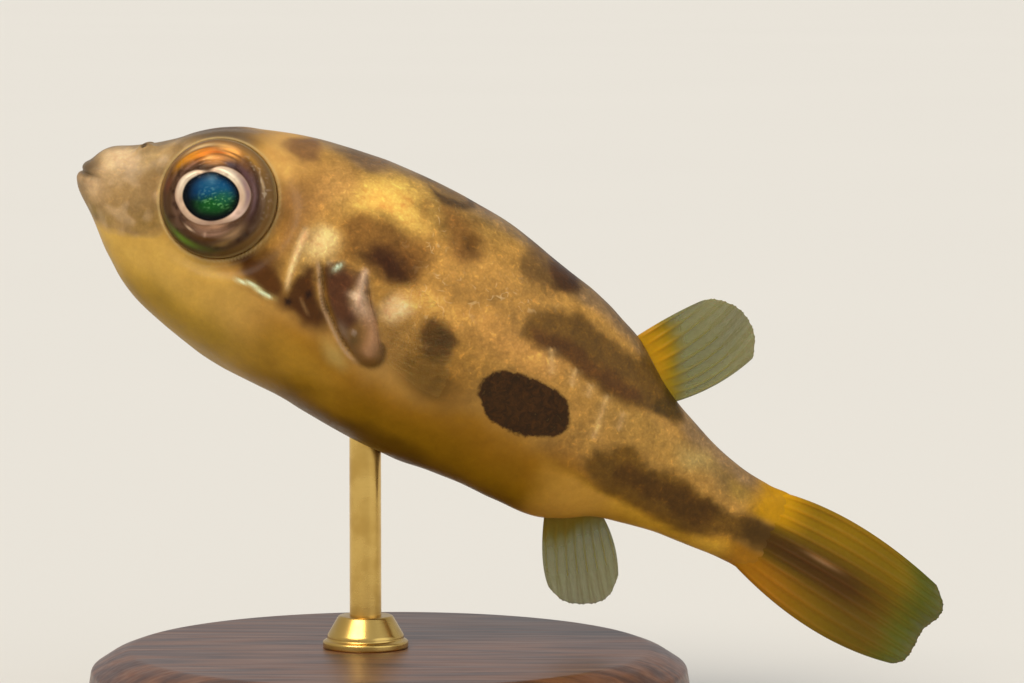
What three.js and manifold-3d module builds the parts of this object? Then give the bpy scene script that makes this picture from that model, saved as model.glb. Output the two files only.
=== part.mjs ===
// A dwarf pea puffer (Carinotetraodon travancoricus) as a still, life-size model on a small turned stand.
// Millimetres, +Z up. The origin is the middle of the stand's underside, and the fish noses up towards -X.
//
// The fish is drawn in a frame of its own and then pitched: x runs from the tip of the snout to the tail,
// y to the fish's right, z to its back. One closed hull is lofted through a table of sections, as a boat is
// from its lines, and thin cuts part it into head, jaws, trunk, belly and tail stalk.

import * as THREE from "three";
import { mergeVertices } from "three/addons/utils/BufferGeometryUtils.js";
import Module from "manifold-3d";

const wasm = await Module();
wasm.setup();

// ---------------------------------------------------------------- driving dimensions

const GAP = 0.12; // between neighbouring solids
const PITCH = THREE.MathUtils.degToRad(27.95); // the snout points this far above level
const SNOUT = new THREE.Vector3(-9.71, 0, 17.54); // the tip of the snout over the stand

// Sections of the hull: distance from the snout, rise of the back, drop of the belly, half width, and the
// height of the widest point, all measured from the axis that joins the snout to the middle of the tail base.
const SECTIONS = [
  [0.0, 0.14, -0.14, 0.0, 0.14], // tip of the snout
  [0.08, 0.52, 0.22, 0.5, 0.15], // lips
  [0.36, 1.05, 0.5, 0.86, 0.25],
  [0.95, 1.53, 0.96, 1.22, 0.3],
  [2.0, 2.32, 1.8, 1.68, 0.3], // nostrils
  [3.3, 3.36, 2.56, 2.15, 0.35], // front half of the eyes
  [4.8, 4.1, 2.98, 2.6, 0.4], // rear half of the eyes
  [6.8, 4.66, 3.22, 2.98, 0.45], // nape
  [9.2, 5.05, 3.22, 3.15, 0.45], // shoulders
  [12.0, 5.04, 3.32, 2.95, 0.5],
  [15.0, 4.54, 3.0, 2.35, 0.5],
  [17.6, 3.84, 2.86, 1.75, 0.35], // front of the dorsal and anal fins
  [19.4, 2.74, 2.03, 1.3, 0.25], // their rear ends
  [21.2, 1.96, 1.57, 0.98, 0.1],
  [22.8, 1.55, 1.4, 0.72, 0.0], // the slimmest part of the tail stalk
  [23.9, 1.46, 1.37, 0.5, 0.0], // base of the tail fin
  [24.5, 1.0, 1.0, 0.28, 0.0],
  [24.7, 0.0, 0.0, 0.0, 0.0],
];
const HULL_AROUND = 36;
const HULL_ALONG = 56;
const BACK_FULLNESS = 2.1; // superellipse powers of the half sections above and below the widest point
const BELLY_FULLNESS = 2.25;

const BEND_START = 9; // behind this the body curves to its right
const BEND_RADIUS = 94;

const EYE = {
  at: new THREE.Vector3(4.26, 2.02, 1.55), // middle of the ball, on the right side
  radius: 1.88, // as seen from the side
  dome: 1.12, // from the middle to the front of the cornea
  forward: THREE.MathUtils.degToRad(11), // where it looks: ahead of straight out, and above level
  up: THREE.MathUtils.degToRad(4),
  rim: 0.7, // width of the raised skin round it
};

// The fleshy lobe that carries a pectoral fin: its middle, its half sizes, its backward lean and its swell.
const SHOULDER_LOBE = { at: 9.45, height: 0.35, long: 0.75, tall: 1.4, lean: 1.98, proud: 0.32 };
const NOSTRIL = { at: 1.55, side: 0.78, length: 0.75, radius: 0.16 };

// Where the hull is parted. A cut leans forward by its tilt, from the back down to the belly.
const JAW_CUT = { at: 0.95, tilt: 0 };
const HEAD_CUT = { at: 8.7, tilt: THREE.MathUtils.degToRad(-24) };
const TAIL_CUT = { at: 17.25, tilt: THREE.MathUtils.degToRad(-4) };
const FIN_CUT = { at: 23.9, tilt: 0 };
const MOUTH_HEIGHT = 0.33;
const BELLY_HEIGHT = -1.65;

const FIN_THICKNESS = 0.5; // at the free edge
const DORSAL = { from: 17.75, to: 19.5, rays: 8, length: 3.3, first: 55, last: 31, root: 0.72 };
const ANAL = { from: 17.85, to: 19.4, rays: 7, length: 2.75, first: -62, last: -27, root: 0.66 };
const CAUDAL = { rays: 10, length: 6.7, root: 0.86, halfBase: 1.36, spread: 4, droop: 1.7 };
const PECTORAL = {
  top: { x: 9.6, z: 1.4 }, // ends of its root
  bottom: { x: 11.0, z: -0.45 },
  rays: 12,
  length: 2.65,
  first: 34,
  last: -3,
  out: THREE.MathUtils.degToRad(22), // it stands this far off the flank
  root: 0.6,
};

const BASE = { radius: 9.5, height: 2.6, chamfer: 0.35, bead: 0.5 };
const ROD = { radius: 0.5, foot: 1.0, into: 1.1, sides: 20 }; // foot: where it starts inside the base
const COLLAR = { radius: 1.35, height: 0.9 };
const ROD_STATION = 11.9; // the rod meets the belly under this part of the body

// ---------------------------------------------------------------- solids in and out of manifold-3d

function toSolid(geometry) {
  const bare = geometry.clone();
  bare.deleteAttribute("normal");
  bare.deleteAttribute("uv");
  const merged = mergeVertices(bare, 1e-4);
  return new wasm.Manifold(
    new wasm.Mesh({
      numProp: 3,
      vertProperties: merged.attributes.position.array,
      triVerts: new Uint32Array(merged.index.array),
    }),
  );
}

function toGeometry(solid) {
  const mesh = solid.getMesh();
  const places = new Float32Array(mesh.numVert * 3);
  for (let i = 0; i < mesh.numVert; i++) {
    places.set(mesh.vertProperties.subarray(i * mesh.numProp, i * mesh.numProp + 3), i * 3);
  }
  const geometry = new THREE.BufferGeometry();
  geometry.setAttribute("position", new THREE.BufferAttribute(places, 3));
  geometry.setIndex(new THREE.BufferAttribute(mesh.triVerts, 1));
  geometry.computeVertexNormals();
  return geometry;
}

// Moves every vertex of a geometry to place(vertex).
function reshape(geometry, place) {
  const position = geometry.attributes.position;
  const vertex = new THREE.Vector3();
  for (let i = 0; i < position.count; i++) {
    const moved = place(vertex.fromBufferAttribute(position, i));
    position.setXYZ(i, moved.x, moved.y, moved.z);
  }
  return geometry;
}

// ---------------------------------------------------------------- the hull

const smooth = (x) => {
  const t = THREE.MathUtils.clamp(x, 0, 1);
  return t * t * (3 - 2 * t);
};

// Catmull-Rom's curve from p1 to p2, whose ends lean towards p0 and p3.
function between([p0, p1, p2, p3], t) {
  const square = 2 * p0 - 5 * p1 + 4 * p2 - p3;
  const cube = 3 * p1 - 3 * p2 + p3 - p0;
  return 0.5 * (2 * p1 + (p2 - p0) * t + square * t ** 2 + cube * t ** 3);
}

// The section at a fractional row. The tip's neighbour is mirrored in front of it, so the snout is round.
function section(along) {
  const last = SECTIONS.length - 1;
  const i = Math.min(Math.floor(along), last - 1);
  const t = along - i;
  const mirrored = (row) => [row[0], ...row.slice(1).map((value) => -value)];
  const before = i === 0 ? mirrored(SECTIONS[1]) : SECTIONS[i - 1];
  const after = i + 2 > last ? mirrored(SECTIONS[last - 1]) : SECTIONS[i + 2];
  return SECTIONS[i].map((here, k) => between([before[k], here, SECTIONS[i + 1][k], after[k]], t));
}

// The section at a distance from the snout, found by halving.
function sectionAt(distance) {
  let low = 0;
  let high = SECTIONS.length - 1;
  for (let step = 0; step < 40; step++) {
    const middle = (low + high) / 2;
    if (section(middle)[0] < distance) low = middle;
    else high = middle;
  }
  return section(low);
}

// Bends the straight fish: sections behind BEND_START turn along a circular arc, and keep their heights.
function bend(point) {
  const turn = Math.max(point.x - BEND_START, 0) / BEND_RADIUS;
  if (turn === 0) return point;
  const x = BEND_START + (BEND_RADIUS - point.y) * Math.sin(turn);
  const y = BEND_RADIUS - (BEND_RADIUS - point.y) * Math.cos(turn);
  return new THREE.Vector3(x, y, point.z);
}

// The axis that an eye looks along, and its middle. side is 1 on the fish's right and -1 on its left.
function eyeFrame(side) {
  const look = new THREE.Vector3(
    -Math.sin(EYE.forward) * Math.cos(EYE.up),
    side * Math.cos(EYE.forward) * Math.cos(EYE.up),
    Math.sin(EYE.up),
  );
  return { look, middle: new THREE.Vector3(EYE.at.x, side * EYE.at.y, EYE.at.z) };
}

// Lifts the skin near an eye to the ball's equator, so that the eye sits in a collar.
function withCollar(point) {
  const side = point.y < 0 ? -1 : 1;
  const { look, middle } = eyeFrame(side);
  const from = point.clone().sub(middle);
  const height = from.dot(look);
  const away = from.addScaledVector(look, -height).length();
  const share = 1 - smooth((away - EYE.radius) / EYE.rim);
  const keep = smooth((height + 1.6) / 0.8); // leaves the far side of the head alone
  return point.clone().addScaledVector(look, (-0.12 - height) * share * keep);
}

// The fleshy lobe that carries a pectoral fin.
function withLobe(point) {
  const along = (point.x - SHOULDER_LOBE.at) / SHOULDER_LOBE.long;
  const above = (point.z - SHOULDER_LOBE.height) / SHOULDER_LOBE.tall;
  const swell = SHOULDER_LOBE.proud * Math.exp(-((along + SHOULDER_LOBE.lean * above) ** 2) - above ** 2);
  const side = point.y < 0 ? -1 : 1;
  const flank = Math.min(Math.abs(point.y) / 2, 1);
  return new THREE.Vector3(point.x, point.y + side * swell * flank, point.z);
}

// A point of the hull: along runs over the sections, and angle from the back, by the right side, to the belly.
function hullPoint(along, angle) {
  const [x, back, belly, side, widest] = section(along);
  const across = Math.sin(angle);
  const up = Math.cos(angle);
  const power = up > 0 ? BACK_FULLNESS : BELLY_FULLNESS;
  const height = up > 0 ? back - widest : belly + widest;
  const scale = (Math.abs(across) ** power + Math.abs(up) ** power) ** (-1 / power);
  return new THREE.Vector3(x, side * across * scale, widest + height * up * scale);
}

// How far the flank stands out at a distance from the snout and a height.
function flank(x, z) {
  const [, back, belly, side, widest] = sectionAt(x);
  const power = z > widest ? BACK_FULLNESS : BELLY_FULLNESS;
  const share = Math.abs(z - widest) / (z > widest ? back - widest : belly + widest);
  const skin = new THREE.Vector3(x, side * (1 - Math.min(share, 1) ** power) ** (1 / power), z);
  return withLobe(skin).y;
}

// A sphere's rings become the hull's sections. Rings are packed where the sections are.
function hull() {
  const ball = new THREE.SphereGeometry(1, HULL_AROUND, HULL_ALONG);
  return toSolid(
    reshape(ball, (vertex) => {
      const along = (Math.acos(THREE.MathUtils.clamp(vertex.y, -1, 1)) / Math.PI) * (SECTIONS.length - 1);
      const point = hullPoint(along, Math.atan2(-vertex.z, vertex.x));
      return bend(withLobe(withCollar(point)));
    }),
  );
}

// ---------------------------------------------------------------- thin cuts

const WORLD = 80;

// Everything ahead of a cut (side -1) or behind it (side 1), less half the gap.
function beyond(cut, side) {
  const box = new THREE.BoxGeometry(WORLD, WORLD, WORLD);
  box.translate((side * (WORLD + GAP)) / 2, 0, 0);
  box.rotateY(cut.tilt);
  const turn = Math.max(cut.at - BEND_START, 0) / BEND_RADIUS;
  box.rotateZ(turn);
  const middle = bend(new THREE.Vector3(cut.at, 0, 0));
  box.translate(middle.x, middle.y, 0);
  return toSolid(box);
}

// Everything above a height (side 1) or below it (side -1), less half the gap.
function level(height, side) {
  const box = new THREE.BoxGeometry(WORLD, WORLD, WORLD);
  box.translate(0, 0, height + (side * (WORLD + GAP)) / 2);
  return toSolid(box);
}

// ---------------------------------------------------------------- eyes, nostrils and fins

// An eyeball: a sphere with a flattened front, grown by extra all round.
function eyeball(side, extra) {
  const { look, middle } = eyeFrame(side);
  const ball = new THREE.SphereGeometry(1, 24, 12);
  ball.rotateX(Math.PI / 2); // its poles now lie on z
  ball.scale(EYE.radius + extra, EYE.radius + extra, EYE.dome + extra);
  const turn = new THREE.Quaternion().setFromUnitVectors(new THREE.Vector3(0, 0, 1), look);
  ball.applyQuaternion(turn);
  ball.translate(middle.x, middle.y, middle.z);
  return toSolid(ball);
}

// A nostril's short tube, which leans out from the snout in front of the eye.
function nostril(side) {
  const [, back] = sectionAt(NOSTRIL.at);
  const tube = new THREE.CylinderGeometry(NOSTRIL.radius, NOSTRIL.radius * 1.3, NOSTRIL.length, 8);
  tube.rotateX(Math.PI / 2);
  tube.rotateX(-side * 0.55);
  tube.translate(NOSTRIL.at, side * NOSTRIL.side, back - 0.3);
  return toSolid(tube);
}

// A fin is a box whose length follows the rays and whose width runs across them. root(v) gives where ray v
// starts, ray(v) its direction and length, and normal the way that it is thick along. Rays stand proud
// of the web between them, which keeps FIN_THICKNESS.
function fin({ rays, root, ray, normal, thick }) {
  const box = new THREE.BoxGeometry(1, 1, 1, 4, 2 * rays, 1);
  return toSolid(
    reshape(box, (vertex) => {
      const out = vertex.x + 0.5;
      const v = vertex.y + 0.5;
      const onRay = 0.5 - 0.5 * Math.cos(2 * Math.PI * rays * v);
      const half = THREE.MathUtils.lerp(thick, FIN_THICKNESS, Math.sqrt(out)) / 2 + 0.06 * onRay;
      const scallop = 1 - 0.03 * (1 - onRay);
      const place = root(v).addScaledVector(ray(v), out * scallop);
      return bend(place.addScaledVector(normal, 2 * vertex.z * half));
    }),
  );
}

// Directions in the fish's median plane, in degrees above straight back.
const inPlane = (degrees) => {
  const angle = THREE.MathUtils.degToRad(degrees);
  return new THREE.Vector3(Math.cos(angle), 0, Math.sin(angle));
};

// A fan-shaped fin on the middle of the back or of the belly. side is 1 on the back and -1 on the belly.
function medianFin(size, side) {
  return fin({
    rays: size.rays,
    thick: size.root,
    root: (v) => {
      const x = THREE.MathUtils.lerp(size.from, size.to, v);
      const [, back, belly] = sectionAt(x);
      return new THREE.Vector3(x, 0, side * ((side > 0 ? back : belly) + GAP));
    },
    ray: (v) => {
      const length = size.length * (0.82 + 0.18 * Math.sin(Math.PI * v)) * (1 - 0.45 * v ** 5);
      return inPlane(THREE.MathUtils.lerp(size.first, size.last, v)).multiplyScalar(length);
    },
    normal: new THREE.Vector3(0, side, 0),
  });
}

function caudalFin() {
  return fin({
    rays: CAUDAL.rays,
    thick: CAUDAL.root,
    root: (v) => new THREE.Vector3(FIN_CUT.at + GAP / 2, 0, CAUDAL.halfBase * (1 - 2 * v)),
    ray: (v) => {
      const across = 1 - 2 * v;
      const length = CAUDAL.length * (1 - 0.13 * across ** 4);
      return inPlane(CAUDAL.spread * across - CAUDAL.droop).multiplyScalar(length);
    },
    normal: new THREE.Vector3(0, 1, 0),
  });
}

// side is 1 on the fish's right and -1 on its left.
function pectoralFin(side) {
  const across = new THREE.Vector3(-side * Math.sin(PECTORAL.out), Math.cos(PECTORAL.out), 0);
  return fin({
    rays: PECTORAL.rays,
    thick: PECTORAL.root,
    root: (v) => {
      const x = THREE.MathUtils.lerp(PECTORAL.top.x, PECTORAL.bottom.x, v);
      const z = THREE.MathUtils.lerp(PECTORAL.top.z, PECTORAL.bottom.z, v);
      return new THREE.Vector3(x, side * (flank(x, z) + PECTORAL.root / 2 + GAP), z);
    },
    ray: (v) => {
      const flat = inPlane(THREE.MathUtils.lerp(PECTORAL.first, PECTORAL.last, v));
      const length = PECTORAL.length * (0.86 + 0.14 * Math.sin(Math.PI * v));
      const back = new THREE.Vector3(Math.cos(PECTORAL.out), side * Math.sin(PECTORAL.out), 0);
      return back.multiplyScalar(flat.x * length).setZ(flat.z * length);
    },
    normal: across,
  });
}

// ---------------------------------------------------------------- the stand

// The point of the fish's frame that lies over a point of the stand's.
const fishFrame = new THREE.Matrix4().makeRotationY(PITCH).setPosition(SNOUT);
const toFish = fishFrame.clone().invert();

function rodLine() {
  const [, , belly] = sectionAt(ROD_STATION);
  const skin = bend(new THREE.Vector3(ROD_STATION, 0, -belly)).applyMatrix4(fishFrame);
  return { x: skin.x, y: skin.y, top: skin.z + ROD.into };
}

function upright(radius, from, to) {
  const line = rodLine();
  const rod = new THREE.CylinderGeometry(radius, radius, to - from, ROD.sides);
  rod.rotateX(Math.PI / 2);
  rod.translate(line.x, line.y, (from + to) / 2);
  return rod;
}

const standRod = () => toSolid(upright(ROD.radius, ROD.foot, rodLine().top));
const rodHole = (from, to) => upright(ROD.radius + GAP, from, to);

function turned(profile, segments) {
  const points = profile.map(([radius, height]) => new THREE.Vector2(radius, height));
  const lathe = new THREE.LatheGeometry(points, segments);
  lathe.rotateX(Math.PI / 2);
  return lathe;
}

function standBase() {
  const { radius, height, chamfer, bead } = BASE;
  const profile = [
    [0, 0],
    [radius - chamfer, 0],
    [radius, chamfer],
    [radius, height - 2 * bead],
    [radius - 0.3 * bead, height - 1.3 * bead],
    [radius - bead, height - bead],
    [radius - 1.3 * bead, height - 0.3 * bead],
    [radius - 2 * bead, height],
    [0, height],
  ];
  return toSolid(turned(profile, 48)).subtract(toSolid(rodHole(ROD.foot - GAP, height + 1)));
}

function standCollar() {
  const inner = ROD.radius + GAP;
  const foot = BASE.height + GAP;
  const profile = [
    [inner, foot],
    [COLLAR.radius, foot],
    [COLLAR.radius, foot + 0.5 * COLLAR.height],
    [COLLAR.radius - 0.35, foot + COLLAR.height],
    [inner, foot + COLLAR.height],
    [inner, foot],
  ];
  const ring = turned(profile, 24);
  const line = rodLine();
  ring.translate(line.x, line.y, 0);
  return toSolid(ring);
}

// ---------------------------------------------------------------- colours and the scene

function finish(color, roughness, metalness = 0) {
  return new THREE.MeshStandardMaterial({ color, roughness, metalness });
}

const SKIN = finish(0xb98c45, 0.45);
const BELLY_SKIN = finish(0xc39a3c, 0.45);
const EYE_BLACK = finish(0x16343c, 0.1);
const FIN_WEB = finish(0xb9a45a, 0.4);
const WOOD = finish(0x3a2417, 0.5);
const BRASS = finish(0xb08d4a, 0.3, 1);

const root = new THREE.Group();
const fish = new THREE.Group();
fish.applyMatrix4(fishFrame);
root.add(fish);

function add(group, name, solid, material) {
  const mesh = new THREE.Mesh(toGeometry(solid), material);
  mesh.name = name;
  group.add(mesh);
}

const body = hull();
const socketed = (solid) => [-1, 1].reduce((left, side) => left.subtract(eyeball(side, GAP)), solid);
const withNostrils = (solid) => [-1, 1].reduce((grown, side) => grown.add(nostril(side)), solid);

const jaws = body.intersect(beyond(JAW_CUT, -1));
add(fish, "upper_jaw", jaws.intersect(level(MOUTH_HEIGHT, 1)), SKIN);
add(fish, "lower_jaw", jaws.intersect(level(MOUTH_HEIGHT, -1)), SKIN);

const head = body.intersect(beyond(JAW_CUT, 1)).intersect(beyond(HEAD_CUT, -1));
add(fish, "head", socketed(withNostrils(head)), SKIN);

const middle = body.intersect(beyond(HEAD_CUT, 1)).intersect(beyond(TAIL_CUT, -1));
const bellyHole = toSolid(rodHole(0, rodLine().top + GAP).applyMatrix4(toFish));
add(fish, "trunk", middle.intersect(level(BELLY_HEIGHT, 1)), SKIN);
add(fish, "belly", middle.intersect(level(BELLY_HEIGHT, -1)).subtract(bellyHole), BELLY_SKIN);

const tail = body.intersect(beyond(TAIL_CUT, 1)).intersect(beyond(FIN_CUT, -1));
add(fish, "tail_stalk", tail, SKIN);

for (const [side, name] of [[-1, "left"], [1, "right"]]) {
  add(fish, `eye_${name}`, eyeball(side, 0), EYE_BLACK);
  add(fish, `pectoral_fin_${name}`, pectoralFin(side), FIN_WEB);
}
add(fish, "dorsal_fin", medianFin(DORSAL, 1), FIN_WEB);
add(fish, "anal_fin", medianFin(ANAL, -1), FIN_WEB);
add(fish, "caudal_fin", caudalFin(), FIN_WEB);

add(root, "stand_base", standBase(), WOOD);
add(root, "stand_collar", standCollar(), BRASS);
add(root, "stand_rod", standRod(), BRASS);

export default root;
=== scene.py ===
# %% [markdown]
# # A dwarf pea puffer, life size
# This notebook models a freshwater pufferfish three centimetres long, nose up, on a small turned stand. The
# stand's places and sizes are read from its solids, and the model's box is kept, because the finished looks
# have to agree with it.

from functools import partial

import bpy
import numpy as np
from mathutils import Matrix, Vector


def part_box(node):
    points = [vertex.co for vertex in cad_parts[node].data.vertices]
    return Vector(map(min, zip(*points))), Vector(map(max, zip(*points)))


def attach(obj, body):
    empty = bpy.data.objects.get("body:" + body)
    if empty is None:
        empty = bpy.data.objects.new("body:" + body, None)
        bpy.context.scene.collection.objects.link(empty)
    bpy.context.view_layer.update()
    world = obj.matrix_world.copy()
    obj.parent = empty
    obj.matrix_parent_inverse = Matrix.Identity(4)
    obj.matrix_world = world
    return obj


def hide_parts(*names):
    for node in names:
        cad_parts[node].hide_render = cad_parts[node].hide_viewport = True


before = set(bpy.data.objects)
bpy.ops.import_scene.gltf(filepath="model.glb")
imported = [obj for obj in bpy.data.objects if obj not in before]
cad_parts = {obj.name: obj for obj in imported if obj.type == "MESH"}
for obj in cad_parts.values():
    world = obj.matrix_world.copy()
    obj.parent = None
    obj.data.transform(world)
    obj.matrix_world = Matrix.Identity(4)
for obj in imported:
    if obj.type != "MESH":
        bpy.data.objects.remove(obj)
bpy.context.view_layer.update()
print("nodes:", ", ".join(sorted(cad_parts)))

# %% [markdown]
# ## Small helpers
# Everything below is worked out in millimetres and turned to metres once, when a mesh is made.
# A surface is a grid of points worked out as whole arrays, so one function that turns a grid into faces
# serves the skin, the eyes, the fins and the stand. A grid may close round one way, and each end may run
# into a pole, so that the surface has no holes.

# %% grids into meshes
MM = 0.001
rng = np.random.default_rng(7)


def grid_faces(rows, columns, closed):
    """Quads between neighbouring rows and columns of a grid; the last column joins the first if closed."""
    last = columns if closed else columns - 1
    row, column = np.meshgrid(np.arange(rows - 1), np.arange(last), indexing="ij")
    across = (column + 1) % columns
    near, far = row * columns, (row + 1) * columns
    corners = [near + column, near + across, far + across, far + column]
    return np.stack(corners, axis=-1).reshape(-1, 4)


def make_mesh(name, points, quads, triangles=None, smooth=True):
    """A mesh object at the origin from points in millimetres, quads and triangles, all as arrays."""
    mesh = bpy.data.meshes.new(name)
    triangles = np.zeros((0, 3), int) if triangles is None else triangles
    mesh.vertices.add(len(points))
    mesh.vertices.foreach_set("co", (np.asarray(points) * MM).astype(np.float32).ravel())
    corners = np.concatenate([quads.ravel(), triangles.ravel()])
    sizes = np.concatenate([np.full(len(quads), 4), np.full(len(triangles), 3)])
    mesh.loops.add(len(corners))
    mesh.loops.foreach_set("vertex_index", corners.astype(np.int32))
    mesh.polygons.add(len(sizes))
    mesh.polygons.foreach_set("loop_start", (np.cumsum(sizes) - sizes).astype(np.int32))
    mesh.update(calc_edges=True)
    mesh.validate()
    mesh.polygons.foreach_set("use_smooth", np.full(len(mesh.polygons), smooth))
    piece = bpy.data.objects.new(name, mesh)
    bpy.context.scene.collection.objects.link(piece)
    print(f"{name}: {len(points)} points, {2 * len(quads) + len(triangles)} triangles")
    return piece


def set_field(piece, name, values):
    """Stores one number for each point, which a material reads with an Attribute node."""
    field = piece.data.attributes.new(name, "FLOAT", "POINT")
    field.data.foreach_set("value", np.asarray(values, np.float32))


def set_colours(piece, name, values):
    """Stores one linear colour for each point, in the same way."""
    field = piece.data.attributes.new(name, "FLOAT_COLOR", "POINT")
    with_cover = np.column_stack([values, np.ones(len(values))])
    field.data.foreach_set("color", with_cover.astype(np.float32).ravel())


def smooth_step(x):
    """0 below 0, 1 above 1, and a smooth slope between them."""
    t = np.clip(x, 0, 1)
    return t * t * (3 - 2 * t)


def ramp(x, start, width):
    """0 before the start, 1 a width further on, and a smooth slope; a negative width runs the other way."""
    return smooth_step((x - start) / width)


def hill(x, width):
    """A bell curve of height 1."""
    return np.exp(-((x / width) ** 2))


# %% [markdown]
# ## The fish's own frame
# A fish is drawn more easily straight and level than nose up. So its shape is worked out in a frame of
# its own: x runs from the tip of the snout back to the tail, y to the fish's right and z to its back.
# Two steps then place it: a gentle bend of the tail to its right, and a turn that points the nose up.

# %% place the fish
PITCH = np.radians(27.95)
SNOUT = np.array([-9.71, 0.0, 17.54])  # the tip's place in the model's frame
BEND_START, BEND_RADIUS = 9.0, 94.0
print("nose up", round(float(np.degrees(PITCH)), 1), "degrees")


def bend(p):
    """Turns what lies behind BEND_START along an arc to the fish's right; heights stay as they are."""
    turn = np.maximum(p[..., 0] - BEND_START, 0) / BEND_RADIUS
    arm = BEND_RADIUS - p[..., 1]
    x = np.where(turn > 0, BEND_START + arm * np.sin(turn), p[..., 0])
    y = np.where(turn > 0, BEND_RADIUS - arm * np.cos(turn), p[..., 1])
    return np.stack([x, y, p[..., 2]], axis=-1)


def on_stand(p):
    """Bends the fish and pitches it nose up: a turn about the y axis, then a shift to the snout's place."""
    q = bend(p)
    c, s = np.cos(PITCH), np.sin(PITCH)
    turned = np.stack([c * q[..., 0] + s * q[..., 2], q[..., 1], c * q[..., 2] - s * q[..., 0]], axis=-1)
    return turned + SNOUT


# %% [markdown]
# ## The lines of the body
# A boat builder draws a hull as a table of sections and fairs smooth curves through them. The same table
# shapes this fish: for each distance from the snout it gives the rise of the back, the drop of the belly,
# the half width and the height of the widest point. A cubic curve through four neighbours fairs it.

# %% the sections and their fairing
SECTIONS = np.array([
    [0.0, 0.14, -0.14, 0.0, 0.14],  # tip of the snout
    [0.08, 0.52, 0.22, 0.5, 0.15],  # lips
    [0.36, 1.05, 0.5, 0.86, 0.25],
    [0.95, 1.53, 0.96, 1.22, 0.3],
    [2.0, 2.32, 1.8, 1.68, 0.3],  # nostrils
    [3.3, 3.36, 2.56, 2.15, 0.35],  # front half of the eyes
    [4.8, 4.1, 2.98, 2.6, 0.4],  # rear half of the eyes
    [6.8, 4.66, 3.22, 2.98, 0.45],  # nape
    [9.2, 5.05, 3.22, 3.15, 0.45],  # shoulders
    [12.0, 5.04, 3.32, 2.95, 0.5],
    [15.0, 4.54, 3.0, 2.35, 0.5],
    [17.6, 3.84, 2.86, 1.75, 0.35],  # front of the dorsal and anal fins
    [19.4, 2.74, 2.03, 1.3, 0.25],  # their rear ends
    [21.2, 1.96, 1.57, 0.98, 0.1],
    [22.8, 1.55, 1.4, 0.72, 0.0],  # the slimmest part of the tail stalk
    [23.9, 1.46, 1.37, 0.5, 0.0],  # base of the tail fin
    [24.9, 1.36, 1.26, 0.2, 0.0],  # the flesh thins out between the fin's rays
    [25.3, 0.0, 0.0, 0.0, 0.0],
])
BACK_FULLNESS, BELLY_FULLNESS = 2.1, 2.25


def catmull_rom(rows, along):
    """A cubic between two rows whose slope at each is half the step between its neighbours.

    The first and the last row only steer the ends: 0 along is the second row."""
    i = np.minimum(np.floor(along).astype(int), len(rows) - 4)
    t = (along - i)[..., None]
    p0, p1, p2, p3 = rows[i], rows[i + 1], rows[i + 2], rows[i + 3]
    square = 2 * p0 - 5 * p1 + 4 * p2 - p3
    cube = 3 * p1 - 3 * p2 + p3 - p0
    return 0.5 * (2 * p1 + (p2 - p0) * t + square * t**2 + cube * t**3)


def section(along):
    """The faired table at a place along it; mirrored rows past its ends make the two ends round."""
    mirrored = SECTIONS[[1, -2]] * [1, -1, -1, -1, -1]
    return catmull_rom(np.concatenate([mirrored[:1], SECTIONS, mirrored[1:]]), along)


FINE_STEPS = 6000
FINE_ALONG = np.linspace(0, len(SECTIONS) - 1, FINE_STEPS)
FINE = section(FINE_ALONG)


def section_at(x):
    """The section at a distance from the snout, read off the faired table."""
    return section(np.interp(x, FINE[:, 0], FINE_ALONG))


def hull(along, angle):
    """A superellipse round each section: half widths and heights scaled so that |x|^n + |y|^n stays 1."""
    x, back, belly, side, widest = np.moveaxis(section(along), -1, 0)
    across, up = np.sin(angle), np.cos(angle)
    power = np.where(up > 0, BACK_FULLNESS, BELLY_FULLNESS)
    height = np.where(up > 0, back - widest, belly + widest)
    scale = (np.abs(across) ** power + np.abs(up) ** power) ** (-1 / power)
    return np.stack([x + 0 * angle, side * across * scale, widest + height * up * scale], axis=-1)


def flank(x, z):
    """How far the smooth flank stands out at a distance from the snout and a height."""
    _, back, belly, side, widest = np.moveaxis(section_at(x), -1, 0)
    power = np.where(z > widest, BACK_FULLNESS, BELLY_FULLNESS)
    share = np.abs(z - widest) / np.where(z > widest, back - widest, belly + widest)
    return side * (1 - np.minimum(share, 1) ** power) ** (1 / power)


print("greatest depth", round(float((FINE[:, 1] + FINE[:, 2]).max()), 2), "mm")

# %% [markdown]
# ## Paths, outlines and noise on the flank
# Folds and slits lie along paths on the flank, and blotches fill outlines. Both are smooth curves through a
# few given points, so two tools are needed: the distance of every skin point to a path, and how deep it
# lies inside a closed outline. A soft random field keeps any edge from looking drawn: it fills a lattice
# with random numbers and blends between its corners.

# %% path, outline and noise tools
def curve(points, count=40):
    """The same cubic through the points of a path; its end points are repeated to steer the ends."""
    path = np.array([points[0], *points, points[-1]], float)
    return catmull_rom(path, np.linspace(0, len(points) - 1 - 1e-9, count))


def from_path(x, z, points, count=40):
    """Distance to a path, on which side of it a point lies (1 to its left), and how far along it, 0 to 1."""
    path = curve(points, count)
    best = np.full(x.shape, np.inf)
    side, share = np.zeros(x.shape), np.zeros(x.shape)
    for k, (a, b) in enumerate(zip(path[:-1], path[1:])):
        step = b - a
        t = np.clip(((x - a[0]) * step[0] + (z - a[1]) * step[1]) / (step @ step), 0, 1)
        away = np.hypot(x - a[0] - t * step[0], z - a[1] - t * step[1])
        near = away < best
        best = np.where(near, away, best)
        side = np.where(near, np.sign((z - a[1]) * step[0] - (x - a[0]) * step[1]), side)
        share = np.where(near, (k + t) / (len(path) - 1), share)
    return best, side, share


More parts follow.
